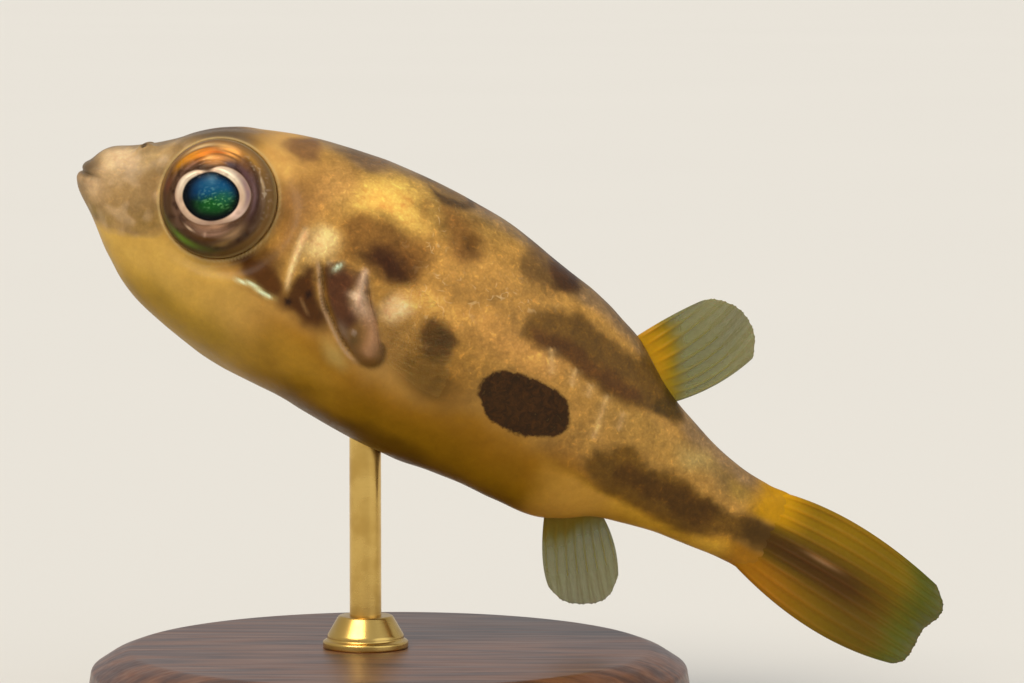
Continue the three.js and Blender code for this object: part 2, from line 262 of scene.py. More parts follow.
def inside(x, z, outline):
    """How deep in mm each point lies inside a smooth closed outline; negative outside it."""
    ring = [*outline, outline[0]]
    count = 3 * len(ring)
    away, _, _ = from_path(x, z, ring, count)
    path = curve(ring, count)
    within = np.zeros(x.shape, bool)
    for a, b in zip(path[:-1], path[1:]):
        if a[1] != b[1]:
            crossing = a[0] + (z - a[1]) * (b[0] - a[0]) / (b[1] - a[1])
            within ^= ((a[1] > z) != (b[1] > z)) & (x < crossing)
    return np.where(within, away, -away)


LATTICE = 32
lattice = rng.random((LATTICE, LATTICE, LATTICE))


def noise(p, cell, shift=0.0):
    """Value noise, -1 to 1: random numbers at lattice corners, blended with a smooth step between them."""
    q = p / cell + shift
    i = np.floor(q).astype(int)
    f = smooth_step(q - i)
    total = np.zeros(q.shape[:-1])
    for corner in np.ndindex(2, 2, 2):
        weight = np.prod(np.where(np.array(corner) == 1, f, 1 - f), axis=-1)
        at = (i + corner) % LATTICE
        total += weight * lattice[at[..., 0], at[..., 1], at[..., 2]]
    return 2 * total - 1


print("lattice of", lattice.size, "random numbers")

# %% [markdown]
# ## The skin as one grid
# The skin is one closed surface, so that no seam shows where the solids are parted. Its rings run round
# the body and its columns run from snout to tail. Rings are packed closer on the head, where the lips,
# nostrils and orbits need them, and round the gill slit: their spacing follows the length of the profile,
# weighted by two bell curves over those places.

# %% rings and columns
RINGS, COLUMNS = 344, 286
profile_step = np.hypot(np.diff(FINE[:, 0]), 0.5 * np.abs(np.diff(FINE[:, 1] + FINE[:, 2])))
head_weight = 1 + 0.9 * hill(FINE[:-1, 0], 5.0) + 0.35 * hill(FINE[:-1, 0] - 9.5, 2.0)
run = np.concatenate([[0], np.cumsum(profile_step * head_weight)])
ring_along = np.interp(np.linspace(0, run[-1], RINGS + 2)[1:-1], run, FINE_ALONG)
ring_angle = -np.arange(COLUMNS) / COLUMNS * 2 * np.pi  # from the back down the left side

along, angle = np.meshgrid(ring_along, ring_angle, indexing="ij")
skin = hull(along, angle)
poles = hull(np.array([0.0, len(SECTIONS) - 1.0]), np.zeros(2))
print("ring spacing on the head", round(float(np.diff(skin[:60, 0, 0]).mean()), 3), "mm")

# %% [markdown]
# ## Orbits
# A puffer's eye is a big ball that bulges from the head, and the skin rises to it in a thin rim. Round
# each eye the skin's height is measured along the direction that the orbit faces. Outside the rim that
# height blends from the cheek's own to the rim's, and inside the rim the skin drops away behind the ball.

# %% sink the orbits
EYE_MIDDLE = np.array([4.26, -2.02, 1.55])  # on the left side
EYE_RADIUS = 1.88
EYE_DOME = 1.12


def facing(forward, up):
    """A unit direction on the left side, turned ahead of straight out and above level by two angles."""
    f, u = np.radians([forward, up])
    return np.array([-np.sin(f) * np.cos(u), -np.cos(f) * np.cos(u), np.sin(u)])


ORBIT_FACING = facing(9, 7)
GAZE = facing(15, 4)
RIM_HEIGHT, RIM_WIDTH = 0.1, 0.1
RIM_BLEND = 0.95  # how far out the cheek still rises to the rim
RIM_LEAN = 0.8  # share of the eye's own lean that the rim follows
RIM_GAP = 0.03  # from the eyeball's edge to the socket's wall, and to the rim's crest
SOCKET_DEPTH, SOCKET_SLOPE = 1.25, 0.2


def with_orbit(p, side):
    """Blends heights over the orbit's plane to a rim, and sinks the skin inside it behind the eyeball."""
    flip = np.array([1, -side, 1])
    look, gaze, middle = ORBIT_FACING * flip, GAZE * flip, EYE_MIDDLE * flip
    from_middle = p - middle
    height = from_middle @ look
    outward = from_middle - height[..., None] * look
    away = np.linalg.norm(outward, axis=-1)
    lean = -(outward @ gaze) / (look @ gaze)  # height of the eye's own plane, which is turned further forward
    near = smooth_step((height + 1.7) / 0.8) * (p[..., 1] * side > 0)
    slope = 1 - smooth_step((away - EYE_RADIUS) / RIM_BLEND)
    rim = RIM_HEIGHT * hill(away - EYE_RADIUS - RIM_GAP, RIM_WIDTH)
    socket = -SOCKET_DEPTH * smooth_step((EYE_RADIUS - RIM_GAP - away) / SOCKET_SLOPE)
    target = RIM_LEAN * lean - 0.1 + rim + socket
    share = np.where(away < EYE_RADIUS, 1, slope**1.3)
    return p + look * ((target - height) * share * near)[..., None], away * near + 9 * (1 - near)


side = np.where(skin[..., 1] < 0, -1, 1)
left_skin, left_away = with_orbit(skin, -1)
right_skin, right_away = with_orbit(skin, 1)
orbit_away = np.minimum(left_away, right_away)
skin = np.where((side < 0)[..., None], left_skin, right_skin)
print("skin points inside the orbits:", int((orbit_away < EYE_RADIUS).sum()))

# %% [markdown]
# ## Gill slit, shoulder lobe, mouth and nostrils
# A puffer has no open gill cover: a short slit in front of the pectoral fin is all that shows, with a
# smooth lip ahead of it. Behind it a fleshy lobe carries the fin. Each is a small displacement along the
# skin's normal, given by a bell curve or a step of the distance to a path on the flank. Both sides share
# the paths, because only the distance from the snout and the height count.

# %% shape the head's details
GILL_SLIT = [
    (7.84, 1.46), (7.94, 1.27), (8.14, 0.97), (8.36, 0.6), (8.64, 0.24), (8.98, -0.05), (9.38, -0.36),
    (9.75, -0.62), (10.12, -0.8), (10.5, -0.88)
]
GILL_RIDGE = [(7.14, 2.2), (7.16, 1.72), (7.2, 1.25), (7.25, 0.85), (7.34, 0.42), (7.46, 0.02)]
SMALL_RIDGE = [(7.88, 0.14), (8.14, -0.06), (8.44, -0.28)]
CHEEK_FOLD = [
    (5.7, -0.38), (6.03, -0.33), (6.35, -0.25), (6.64, -0.28), (6.94, -0.33), (7.16, -0.3), (7.4, -0.27)
]
LOBE = [
    (8.05, 1.29), (8.43, 0.66), (8.79, 0.22), (9.22, -0.15), (9.62, -0.46), (10.05, -0.72), (10.45, -0.84),
    (10.82, -0.78), (11.04, -0.51), (10.98, -0.14), (10.75, 0.12), (10.5, 0.42), (10.28, 0.75),
    (9.98, 1.05), (9.7, 1.4), (9.4, 1.72), (9.01, 1.8), (8.62, 1.76), (8.25, 1.6)
]
PINK_RIDGE = [
    (9.3, 1.75), (9.39, 1.38), (9.46, 1.05), (9.58, 0.8), (9.94, 0.63), (10.29, 0.38), (10.46, 0.02),
    (10.5, -0.3)
]
MOUTH = [(-0.3, 0.2), (0.1, 0.2), (0.4, 0.25), (0.78, 0.36)]
NOSTRIL = np.array([1.5, 0.8])  # distance from the snout and from the middle
RIDGES = ((PINK_RIDGE, 0.11, 0.13), (GILL_RIDGE, 0.09, 0.1), (SMALL_RIDGE, 0.04, 0.07))  # path, height, width
GILL_LIP, GILL_DEPTH = 0.1, 0.17
LOBE_HEIGHT, LOBE_SLOPE = 0.27, 0.5
FOLD_HEIGHT, FOLD_DEPTH = 0.07, 0.06
MOUTH_LIP, MOUTH_DEPTH = 0.06, 0.06
LIPS = ((0.09, 0.85, 1.05, 0.42), (0.05, 0.8, -0.05, 0.4))  # height, distance, height of its middle, width
NOSTRIL_HEIGHT, NOSTRIL_DEPTH = 0.3, 0.22


def normals_of(p):
    """Unit normals of a closed grid: the cross product of its two tangents."""
    rows = np.gradient(p, axis=0)
    columns = np.roll(p, -1, axis=1) - np.roll(p, 1, axis=1)
    n = np.cross(columns, rows)
    return n / np.maximum(np.linalg.norm(n, axis=-1, keepdims=True), 1e-9)


def head_relief(p):
    """The height in mm of every fold, lip and lobe over the smooth skin."""
    x, y, z = np.moveaxis(p, -1, 0)
    gill, behind, gill_run = from_path(x, z, GILL_SLIT)
    fade = smooth_step(gill_run / 0.2) * ramp(gill_run, 1, -0.25)
    lip = np.where(behind > 0, hill(gill, 0.05), hill(gill, 0.12))
    relief = fade * (GILL_LIP * lip - GILL_DEPTH * hill(gill - 0.1, 0.06) * (behind > 0))
    relief += LOBE_HEIGHT * smooth_step((inside(x, z, LOBE) + 0.05) / LOBE_SLOPE)
    for path, height, width in RIDGES:
        away, _, run = from_path(x, z, path)
        relief += height * hill(away, width) * np.sin(np.pi * run) ** 0.7
    fold, above, fold_run = from_path(x, z, CHEEK_FOLD)
    over_fold = FOLD_HEIGHT * hill(fold - 0.08, 0.1) * (above < 0)
    relief += np.sin(np.pi * fold_run) * (over_fold - FOLD_DEPTH * hill(fold, 0.06))
    mouth, _, mouth_run = from_path(x, z, MOUTH)
    corner = ramp(mouth_run, 1, -0.4)
    relief += corner * (MOUTH_LIP * hill(mouth - 0.2, 0.16) - MOUTH_DEPTH * hill(mouth, 0.06))
    relief += sum(height * hill(np.hypot(x - at, z - up), width) for height, at, up, width in LIPS)
    nostril = np.hypot(x - NOSTRIL[0], np.abs(y) - NOSTRIL[1])
    on_top = ramp(z, 0.9, 0.3)
    relief += on_top * (NOSTRIL_HEIGHT * hill(nostril, 0.19) - NOSTRIL_DEPTH * hill(nostril, 0.08))
    return relief


def soft_unevenness(p):
    """Muscle and gut under the skin: two soft noise fields, strongest on the belly."""
    low = ramp(p[..., 2], 0.5, -2.5)
    return 0.035 * noise(p, 1.6) + 0.018 * noise(p, 0.7, 5.3) + 0.03 * low * noise(p * [1, 1, 0.6], 1.1, 9.1)


flat_x, flat_z = skin[..., 0].copy(), skin[..., 2].copy()
relief = head_relief(skin) * smooth_step((orbit_away - EYE_RADIUS) / 0.3)
relief += soft_unevenness(skin) * smooth_step((orbit_away - EYE_RADIUS) / 0.6)
skin = skin + normals_of(skin) * relief[..., None]
print("relief from", round(float(relief.min()), 2), "to", round(float(relief.max()), 2), "mm")

# %% [markdown]
# ## Colours
# Colours are written as sRGB hex values, as a paint chart gives them, and one function turns them to the
# linear values that light adds up in. The ground colour of the skin runs smoothly from a beige snout over
# golden flanks to a yellow belly, so it is worked out point by point and stored on the mesh.

# %% colour tools
def linear(hex_code):
    """Linear red, green and blue of an sRGB hex value: a power of 2.4 with a short straight foot."""
    value = np.array([int(hex_code[i:i + 2], 16) for i in (1, 3, 5)]) / 255
    return np.where(value <= 0.04045, value / 12.92, ((value + 0.055) / 1.055) ** 2.4)


def ellipse(x, z, middle, half, tilt=0.0):
    """Distance from an ellipse's middle as a share of its half sizes: 1 on its edge."""
    c, s = np.cos(np.radians(tilt)), np.sin(np.radians(tilt))
    dx, dz = x - middle[0], z - middle[1]
    return np.hypot((c * dx + s * dz) / half[0], (c * dz - s * dx) / half[1])


def lay(colours, hex_code, share):
    """Lays a colour over others by a share at each point."""
    return colours + (linear(hex_code) - colours) * np.clip(share, 0, 1)[..., None]


def lay_all(colours, layers):
    """Lays colours one after the other; each layer is a hex value and its share at each point."""
    for hex_code, share in layers:
        colours = lay(colours, hex_code, share)
    return colours


print("linear value of a middle grey", linear("#808080").round(3))

# %% tones of the flank
# Distances and heights from before the relief, with a soft random shift so that borders wander.
warp = 0.26 * np.stack([noise(skin, 1.3, 2.0), noise(skin, 1.3, 11.0)], axis=-1)
warp += 0.1 * np.stack([noise(skin, 0.45, 4.0), noise(skin, 0.45, 15.0)], axis=-1)
px, pz = flat_x + warp[..., 0], flat_z + warp[..., 1]
left = side < 0

FLANK_TONES = [
    # distance from the snout, height, half length, half height, tilt, softness, share, colour
    (12.6, 2.5, 4.6, 1.5, 0, 0.8, 0.6, "#b5843e"),  # warm flank
    (9.4, 4.65, 4.2, 0.5, 2, 0.8, 0.8, "#957439"),  # upper shoulder
    # The golden shoulder is its own gold, made brighter by a painted highlight.
    (8.85, 3.85, 1.15, 0.6, 10, 0.7, 0.95, "#ecbe5c"),  # golden shoulder
    (7.4, 3.75, 0.7, 0.6, 0, 0.8, 0.9, "#b98a48"),
    (5.5, 3.45, 0.75, 0.75, 0, 0.7, 0.85, "#d4a256"),  # nape
    (6.75, 3.0, 0.6, 0.8, 20, 0.7, 0.75, "#a2743a"),  # behind the eye
    (6.65, 1.75, 0.4, 0.9, -6, 0.7, 0.8, "#996c34"),
    (6.15, 2.5, 0.45, 0.7, 0, 0.8, 0.8, "#8a6030"),
    (14.8, 1.95, 1.9, 0.6, 4, 0.8, 0.8, "#c48f48"),  # over the spot
    (17.3, 1.1, 1.3, 0.8, -8, 0.8, 0.6, "#a87c3a"),
    (19.2, 1.2, 1.6, 0.5, -8, 0.8, 0.6, "#a57e3a"),
    (21.2, 1.35, 0.7, 0.35, -8, 0.9, 0.85, "#a68c50"),
    (22.3, 1.1, 0.7, 0.45, -8, 0.9, 0.8, "#7c6234"),
    (23.15, 0.9, 0.5, 0.35, -8, 0.8, 0.8, "#94752f"),
    (17.6, -0.55, 0.9, 0.5, -5, 0.8, 0.8, "#845a20"),
    (10.95, 0.3, 0.9, 1.1, 0, 0.7, 0.6, "#96703a"),  # under the fin
    (12.7, 0.15, 1.1, 1.0, 0, 0.8, 0.7, "#8a6020"),
]
LATER_TONES = [  # the same columns, laid after the head's tones
    # A painted highlight behind the fin's root.
    (10.68, 1.28, 0.34, 0.46, -18, 0.75, 0.95, "#f2cd92"),  # behind the fin's root
    (11.2, 1.9, 0.75, 0.42, 0, 0.8, 0.85, "#dba654"),
    (10.85, 0.0, 0.3, 0.5, 0, 0.8, 0.5, "#755024"),
    (13.3, -0.45, 0.6, 0.6, 0, 0.8, 0.6, "#6a460e"),
    (9.75, -1.05, 0.5, 0.26, -30, 0.9, 0.55, "#b89e58"),  # pale corner under the lobe
    (8.9, -1.75, 1.2, 0.5, -12, 0.9, 0.4, "#b88c28"),
    (3.3, 3.25, 1.1, 0.35, 25, 0.8, 0.6, "#4e3e30"),  # crown over the eye
]
ground = np.broadcast_to(linear("#ad813c"), (*px.shape, 3)).copy()
print(len(FLANK_TONES) + len(LATER_TONES), "patches of tone on the flank")


# %% lay the ground colour
def lay_patches(colours, rows):
    """Lays soft elliptical patches of colour one after the other."""
    for cx, cz, length, height, tilt, softness, share, tone in rows:
        reach = ellipse(px, pz, (cx, cz), (length, height), tilt)
        colours = lay(colours, tone, share * smooth_step((1 + softness - reach) / (2 * softness)))
    return colours


ground = lay_patches(ground, FLANK_TONES)
sag = -0.1 - 0.5 * ramp(px, 8, 3) + 0.5 * ramp(px, 12, 3)  # where the flank turns ochre
ground = lay_all(ground, [
    # The belly's ochre deepens downwards, partly as its own colour and partly as painted shade; the lowest
    # line is painted shade along the underside.
    ("#926410", smooth_step((sag - pz) / 1.1) * ramp(px, 6, 3)),  # ochre belly
    ("#886207", 0.85 * ramp(pz, -1.3, -1.2) * ramp(px, 6, 3)),
    ("#543802", (0.75 - 0.35 * ramp(px, 13, 2)) * ramp(pz, -2.3, -0.6) * ramp(px, 7, 3)),  # lowest line
    ("#c0902a", ramp(px, 16.5, 2.5) * ramp(pz, -0.7, -0.5)),  # under the stalk
    ("#c29038", ramp(px, 16.5, 1.5) * ramp(px, 20.5, -1.5) * ramp(pz, -0.85, -0.3)),
    ("#c39b48", ramp(pz, 0.0, -0.5) * ramp(px, 7.9, -3.2)),  # jaw and cheek
    # The throat likewise darkens downwards, partly as painted shade.
    ("#9a7718", 0.9 * ramp(pz, -1.1, -1.3) * ramp(px, 9.5, -3.5)),  # throat
    ("#96710a", 0.8 * ramp(pz, -1.9, -0.9) * ramp(px, 5.5, -3)),
])
back_line = section_at(flat_x)[..., 1]
# A greyish painted rim light along the top of the back, where the body curves away.
back_rim_light = 0.72 * smooth_step((pz - back_line + 0.5) / 0.45) * ramp(px, 5, 2)
dark_crown = 0.9 * ramp(pz, 2.62, 0.5) * ramp(px, 4.6, -1.2)
ground = lay(lay(ground, "#80684c", back_rim_light), "#54402c", dark_crown)
print("mean ground of the body", ground.reshape(-1, 3).mean(axis=0).round(3))

# %% the pale snout and its border
snout_border, under_snout, _ = from_path(px, pz, [
    (0.5, -1.2), (1.1, -1.1), (1.7, -1.05), (2.1, -0.97), (2.4, -0.84), (2.65, -0.62), (2.83, -0.4),
    (3.0, -0.1), (3.1, 0.6)
])
on_snout = 0.5 + 0.5 * under_snout * smooth_step(snout_border / 0.14)
on_top = ramp(pz, 0.5, 0.8)  # up here the snout fades into the crown with no border
on_snout = on_snout * (1 - on_top) + ramp(px, 4.6, -2.4) * on_top
SNOUT_TONES = [  # the same columns as FLANK_TONES
    (2.55, -0.2, 0.5, 0.4, 30, 0.7, 0.7, "#86682f"),
    (1.1, -0.75, 0.6, 0.25, 0, 0.8, 0.6, "#80682e"),
    # A painted highlight over the upper lip.
    (1.0, 1.0, 0.55, 0.45, 40, 0.95, 0.95, "#d8b88c"),  # over the upper lip
    (1.75, 1.6, 0.6, 0.35, 40, 0.7, 0.8, "#b39464"),
    (0.68, -0.04, 0.42, 0.32, 5, 0.95, 0.85, "#bc9c74"),  # lower lip
    (0.32, 0.28, 0.34, 0.26, 40, 0.8, 0.9, "#5c4a34"),
]
ground = lay(ground, "#96774a", on_snout)
snout_ground = lay_patches(ground, SNOUT_TONES)
snout_ground = lay(snout_ground, "#d4b48c", 0.28 * ramp(noise(skin, 0.36, 41.0), 0.1, 0.7))
snout_ground = lay(snout_ground, "#6c5636", 0.25 * ramp(noise(skin, 0.5, 47.0), 0.1, 0.7))
ground = ground + (snout_ground - ground) * on_snout[..., None]
grey_top = 0.65 * smooth_step((pz - back_line + 0.42) / 0.35) * ramp(px, 3.8, -1.2)
ground = lay(ground, "#6e5c40", grey_top)
GILL_TONES = [  # the same columns again
    (5.1, -1.0, 0.9, 0.5, 0, 0.9, 0.35, "#a67c30"),
    (7.62, 1.62, 0.5, 0.6, 0, 0.8, 0.85, "#b49256"),
    # The next row is a painted highlight on the pale patch over the gill.
    (7.78, 1.86, 0.4, 0.44, -20, 0.9, 0.95, "#e2c280"),  # over the gill
]
ground = lay_patches(ground, GILL_TONES)
ground = lay_patches(ground, LATER_TONES)
# How strongly the grain of the skin shows: most on the flank, little on the belly and the snout.
grainy = smooth_step((pz + 0.4 + 0.1 * (px - 8)) / 1.6)
grainy = grainy * ramp(px, 5, 3) * ramp(px, 24.6, -1.5)
grainy = np.maximum(0.22 + 0.78 * grainy, 0.5 * on_snout)
print("mean ground colour", ground.reshape(-1, 3).mean(axis=0).round(3))

# %% [markdown]
# ## Blotches
# The dark marks are pigment cells under the skin. Each mark is a closed outline with a colour, a share and
# the width of its border, laid over the ground one after the other, with darker cores last. Random noise
# shifts the depth inside an outline, so that a soft border breaks up. The right side uses the same marks
# with their places shifted by a strong slow noise, because no puffer is the same on both sides. Only the
# crisp spot is kept as a field of its own, whose border the material sharpens into grains.

# %% lay out the dark marks
MARKS = [
    # colour, share, width of the border, outline: distances from the snout and heights
    ("#78501f", 0.85, 0.6, [
        (8.02, 2.72), (8.17, 3.03), (8.69, 3.37), (9.27, 3.44), (10.16, 3.5), (10.65, 3.4), (10.95, 3.1),
        (10.95, 2.6), (10.8, 2.2), (10.4, 1.95), (9.93, 1.86), (9.4, 1.95), (9.0, 2.0), (8.7, 1.8),
        (8.36, 1.78), (8.25, 2.2)
    ]),
    ("#5c3814", 0.8, 0.8, [(9.2, 2.5), (9.8, 2.95), (10.4, 2.95), (10.7, 2.6), (10.4, 2.1), (9.6, 2.0)]),
    ("#341806", 0.9, 0.75, [
        (9.0, 2.12), (9.37, 2.5), (9.76, 2.66), (10.19, 2.56), (10.62, 2.34), (10.55, 2.0), (10.08, 1.87),
        (9.57, 1.93)
    ]),
    ("#5c3a14", 0.85, 0.5, [
        (5.5, 0.2), (5.92, 0.75), (6.21, 1.1), (6.68, 0.97), (7.05, 0.68), (7.37, 0.2), (7.7, 0.1),
        (7.69, 0.92), (7.9, 1.16), (8.26, 0.62), (8.62, 0.16), (9.05, -0.3), (8.95, -0.62), (8.46, -0.69),
        (7.88, -0.5), (7.29, -0.31), (6.78, -0.27), (6.39, -0.15), (5.99, -0.06)
    ]),
    ("#4a2804", 0.95, 0.32, [
        (5.7, 0.28), (6.0, 0.55), (6.4, 0.62), (6.69, 0.62), (7.04, 0.5), (7.26, 0.12), (7.15, -0.22),
        (6.75, -0.22), (6.3, 0.02)
    ]),
    ("#472605", 0.95, 0.32, [
        (7.6, 0.6), (7.78, 1.0), (8.06, 0.82), (8.46, 0.3), (8.88, -0.12), (8.8, -0.42), (8.3, -0.42),
        (7.75, -0.22), (7.5, 0.1)
    ]),
    ("#1c0a02", 0.9, 0.12, [(7.98, 0.42), (8.1, 0.5), (8.18, 0.38), (8.08, 0.26)]),
    ("#1c0a02", 0.9, 0.12, [(7.56, -0.08), (7.68, 0.0), (7.76, -0.12), (7.64, -0.22)]),
    ("#45290a", 0.95, 0.42, [
        (11.68, 0.67), (11.57, 1.02), (11.75, 1.38), (12.13, 1.48), (12.52, 1.34), (12.78, 1.05),
        (12.76, 0.62), (12.56, 0.34), (12.21, 0.2), (11.93, 0.37)
    ]),
    ("#2e1a08", 0.9, 0.4, [(11.95, 0.95), (12.1, 1.3), (12.45, 1.2), (12.5, 0.85), (12.2, 0.65)]),
    ("#5c3f0c", 0.75, 0.7, [
        (11.56, 0.17), (12.1, 0.3), (12.7, 0.41), (12.98, 0.0), (13.1, -0.44), (12.85, -0.8),
        (12.41, -0.88), (11.92, -0.75), (11.52, -0.42)
    ]),
    ("#785022", 0.85, 0.55, [
        (10.46, 4.57), (10.76, 4.7), (11.2, 4.58), (11.66, 4.4), (12.03, 4.13), (12.18, 3.74),
        (11.87, 3.37), (11.5, 3.43), (11.2, 3.69), (10.95, 4.05), (10.65, 4.3)
    ]),
    ("#5c3c12", 0.75, 0.35, [(11.42, 4.05), (11.75, 4.28), (12.05, 4.05), (12.0, 3.7), (11.7, 3.62)]),
    ("#90662e", 0.6, 0.3, [(9.76, 4.2), (9.86, 4.53), (10.12, 4.5), (10.25, 4.17), (10.09, 3.96)]),
    ("#4e381e", 0.9, 0.18, [
        (9.64, 4.86), (10.09, 4.92), (10.59, 4.9), (11.03, 4.92), (11.43, 4.9), (11.2, 4.74),
        (10.75, 4.68), (10.25, 4.7)
    ]),
    ("#6a4c26", 0.8, 0.5, [
        (13.45, 4.4), (13.86, 4.9), (14.34, 5.0), (14.9, 4.9), (15.55, 4.4), (15.08, 3.92), (14.55, 3.76),
        (14.06, 3.74), (13.62, 3.95)
    ]),
    ("#3c2110", 0.85, 0.3, [
        (14.5, 4.3), (14.7, 4.42), (15.0, 4.4), (15.4, 4.25), (15.05, 4.06), (14.7, 4.08)
    ]),
    ("#765230", 0.9, 0.45, [
        (5.2, 4.0), (5.5, 4.5), (6.1, 4.7), (6.45, 4.4), (6.4, 3.88), (5.97, 3.76), (5.49, 3.86)
    ]),
    ("#74583a", 0.85, 0.4, [(6.94, 4.61), (7.35, 4.9), (7.9, 5.1), (8.5, 5.0), (8.05, 4.58), (7.44, 4.48)]),
    # the band under the dorsal fin and the darker line along its lower edge
    ("#664716", 0.95, 0.42, [
        (14.3, 2.85), (14.5, 3.2), (15.0, 3.38), (15.4, 3.5), (15.9, 3.72), (16.32, 3.5), (16.9, 3.3),
        (17.48, 3.24), (18.12, 3.3), (18.68, 3.22), (19.2, 3.0), (19.65, 2.55), (20.06, 2.28),
        (20.5, 1.98), (20.0, 1.87), (19.5, 1.8), (19.02, 1.8), (18.52, 1.7), (18.07, 1.73), (17.56, 1.72),
        (17.1, 1.79), (16.6, 1.92), (16.29, 2.1), (15.86, 2.1), (15.37, 2.1), (14.92, 2.08), (14.5, 2.2),
        (14.35, 2.5)
    ]),
    ("#543210", 0.8, 0.4, [
        (14.6, 2.55), (15.06, 2.66), (15.7, 2.72), (16.3, 2.62), (17.0, 2.5), (17.8, 2.4), (18.6, 2.2),
        (18.4, 1.9), (17.6, 1.85), (16.66, 1.98), (16.0, 2.14), (15.26, 2.14), (14.8, 2.18)
    ]),
    ("#43300a", 0.85, 0.35, [
        (19.17, 2.35), (19.62, 2.45), (20.12, 2.25), (20.45, 2.02), (19.83, 1.9), (19.3, 1.94)
    ]),
    # the band that runs on into the tail fin, and its darker middle
    ("#664610", 0.95, 0.45, [
        (18.0, -0.3), (18.31, 0.1), (18.73, 0.33), (19.1, 0.65), (19.51, 0.63), (19.93, 0.45),
        (20.45, 0.5), (20.99, 0.51), (21.5, 0.39), (22.04, 0.3), (22.56, 0.23), (23.0, 0.12),
        (23.54, 0.28), (24.06, 0.37), (25.4, 0.3), (25.4, -0.6), (24.21, -0.56), (23.65, -0.6),
        (22.98, -0.73), (22.56, -0.95), (22.06, -1.05), (21.5, -1.03), (20.93, -1.01), (20.24, -1.1),
        (19.74, -1.05), (19.26, -0.99), (18.77, -0.96), (18.25, -0.7)
    ]),
    ("#4f320a", 0.85, 0.4, [
        (18.98, -0.15), (19.42, 0.18), (20.09, 0.14), (20.72, 0.2), (21.37, 0.24), (22.0, 0.18),
        (22.6, -0.02), (22.3, -0.7), (21.58, -0.62), (20.87, -0.48), (20.28, -0.54), (19.67, -0.56),
        (19.14, -0.5)
    ]),
    ("#442c06", 0.8, 0.7, [
        (23.5, 0.0), (24.0, 0.28), (24.6, 0.25), (25.4, 0.2), (25.4, -0.5), (24.4, -0.42), (23.85, -0.36)
    ]),
]
SPOTS = {
    -1: [
        (14.07, -0.09), (13.98, 0.38), (14.11, 0.77), (14.49, 1.03), (14.99, 1.19), (15.49, 1.23),
        (15.96, 1.2), (16.35, 1.12), (16.72, 0.95), (16.97, 0.63), (17.08, 0.24), (16.96, -0.02),
        (16.5, -0.3), (16.0, -0.59), (15.54, -0.64), (14.98, -0.67), (14.47, -0.52)
    ],
    1: [
        (13.8, 0.1), (13.7, 0.6), (14.1, 1.05), (14.8, 1.25), (15.5, 1.2), (16.1, 0.9), (16.3, 0.35),
        (16.0, -0.2), (15.4, -0.55), (14.6, -0.55), (14.05, -0.3)
    ],
}
# Marks across the middle of the back and crown: distance from the snout, half length, half width, strength.
SADDLES = [
    (3.1, 0.75, 0.75, 0.6), (7.75, 0.6, 0.95, 0.6), (10.4, 0.95, 1.15, 0.6), (13.9, 1.2, 0.7, 0.6),
    (17.2, 0.8, 0.6, 0.4),
]
print(len(MARKS), "outlined marks and", len(SADDLES), "saddles")

# %% lay the marks on both sides
# The right side's places are shifted further than the left's, and the two blend over the back.
far = 0.75 * np.stack([noise(skin, 2.6, 21.0), 0.8 * noise(skin, 2.6, 27.0)], axis=-1) + [0.1, 0.0]
over_back = 0.9 * hill(skin[..., 1], 0.9) * (flat_z > 1)  # marks wander more where they cross the back
half_width = np.abs(skin[..., 1]).max(axis=1, keepdims=True)
to_right = smooth_step(0.5 + skin[..., 1] / (0.8 * half_width))[..., None]
shift = (1 - to_right) * 0.35 * warp + to_right * far
mark_x = flat_x + shift[..., 0] + over_back * noise(skin, 1.1, 31.0)
mark_z = flat_z + shift[..., 1] + over_back * (noise(skin, 1.3, 35.0) - 0.3)
ragged = 0.1 * noise(skin, 0.42, 8.0) + 0.06 * noise(skin, 0.2, 3.0)
for at, length, width, strength in SADDLES:
    reach = np.hypot((px - at) / length, (skin[..., 1] + warp[..., 1]) / width)
    ground = lay(ground, "#5c4326", strength * ramp(reach, 1.5, -0.9) * (pz > 1.5))
marked = np.zeros(px.shape)
for tone, share, border, outline in MARKS:
    depth = inside(mark_x, mark_z, outline) + ragged * min(1, border / 0.35)
    field = smooth_step(0.5 + depth / border)
    ground = lay(ground, tone, share * field)
    marked = np.maximum(marked, field)
spot = np.where(left, inside(mark_x, mark_z, SPOTS[-1]), inside(mark_x, mark_z, SPOTS[1]))
spot = smooth_step(0.5 + (spot + 0.4 * ragged) / 0.24)
print("share of skin under marks:", round(float(((marked > 0.5) | (spot > 0.5)).mean()), 2))

# %% colour the folds of the head
gill, behind, gill_run = from_path(flat_x, flat_z, GILL_SLIT)
pink, _, pink_run = from_path(flat_x, flat_z, PINK_RIDGE)
ridge, _, ridge_run = from_path(flat_x, flat_z, GILL_RIDGE)
small_ridge, _, small_run = from_path(flat_x, flat_z, SMALL_RIDGE)
fold, _, fold_run = from_path(flat_x, flat_z, CHEEK_FOLD)
in_lobe = inside(flat_x + 0.3 * warp[..., 0], flat_z + 0.3 * warp[..., 1], LOBE)
on_lobe = smooth_step((in_lobe + 0.02) / 0.14)
wet_red = inside(flat_x + 0.3 * warp[..., 0], flat_z + 0.3 * warp[..., 1],
                 [
                     (8.1, 1.3), (8.45, 0.62), (8.95, 0.08), (9.4, -0.26), (9.72, -0.05), (9.8, 0.4),
                     (9.55, 0.72), (9.3, 0.8), (9.21, 1.1), (9.2, 1.42), (8.89, 1.6), (8.5, 1.55)
                 ])


def glow(x, z, length, height, tilt=0):
    """A soft elliptical share about a place on the flank."""
    return hill(ellipse(flat_x, flat_z, (x, z), (length, height), tilt), 1.0)


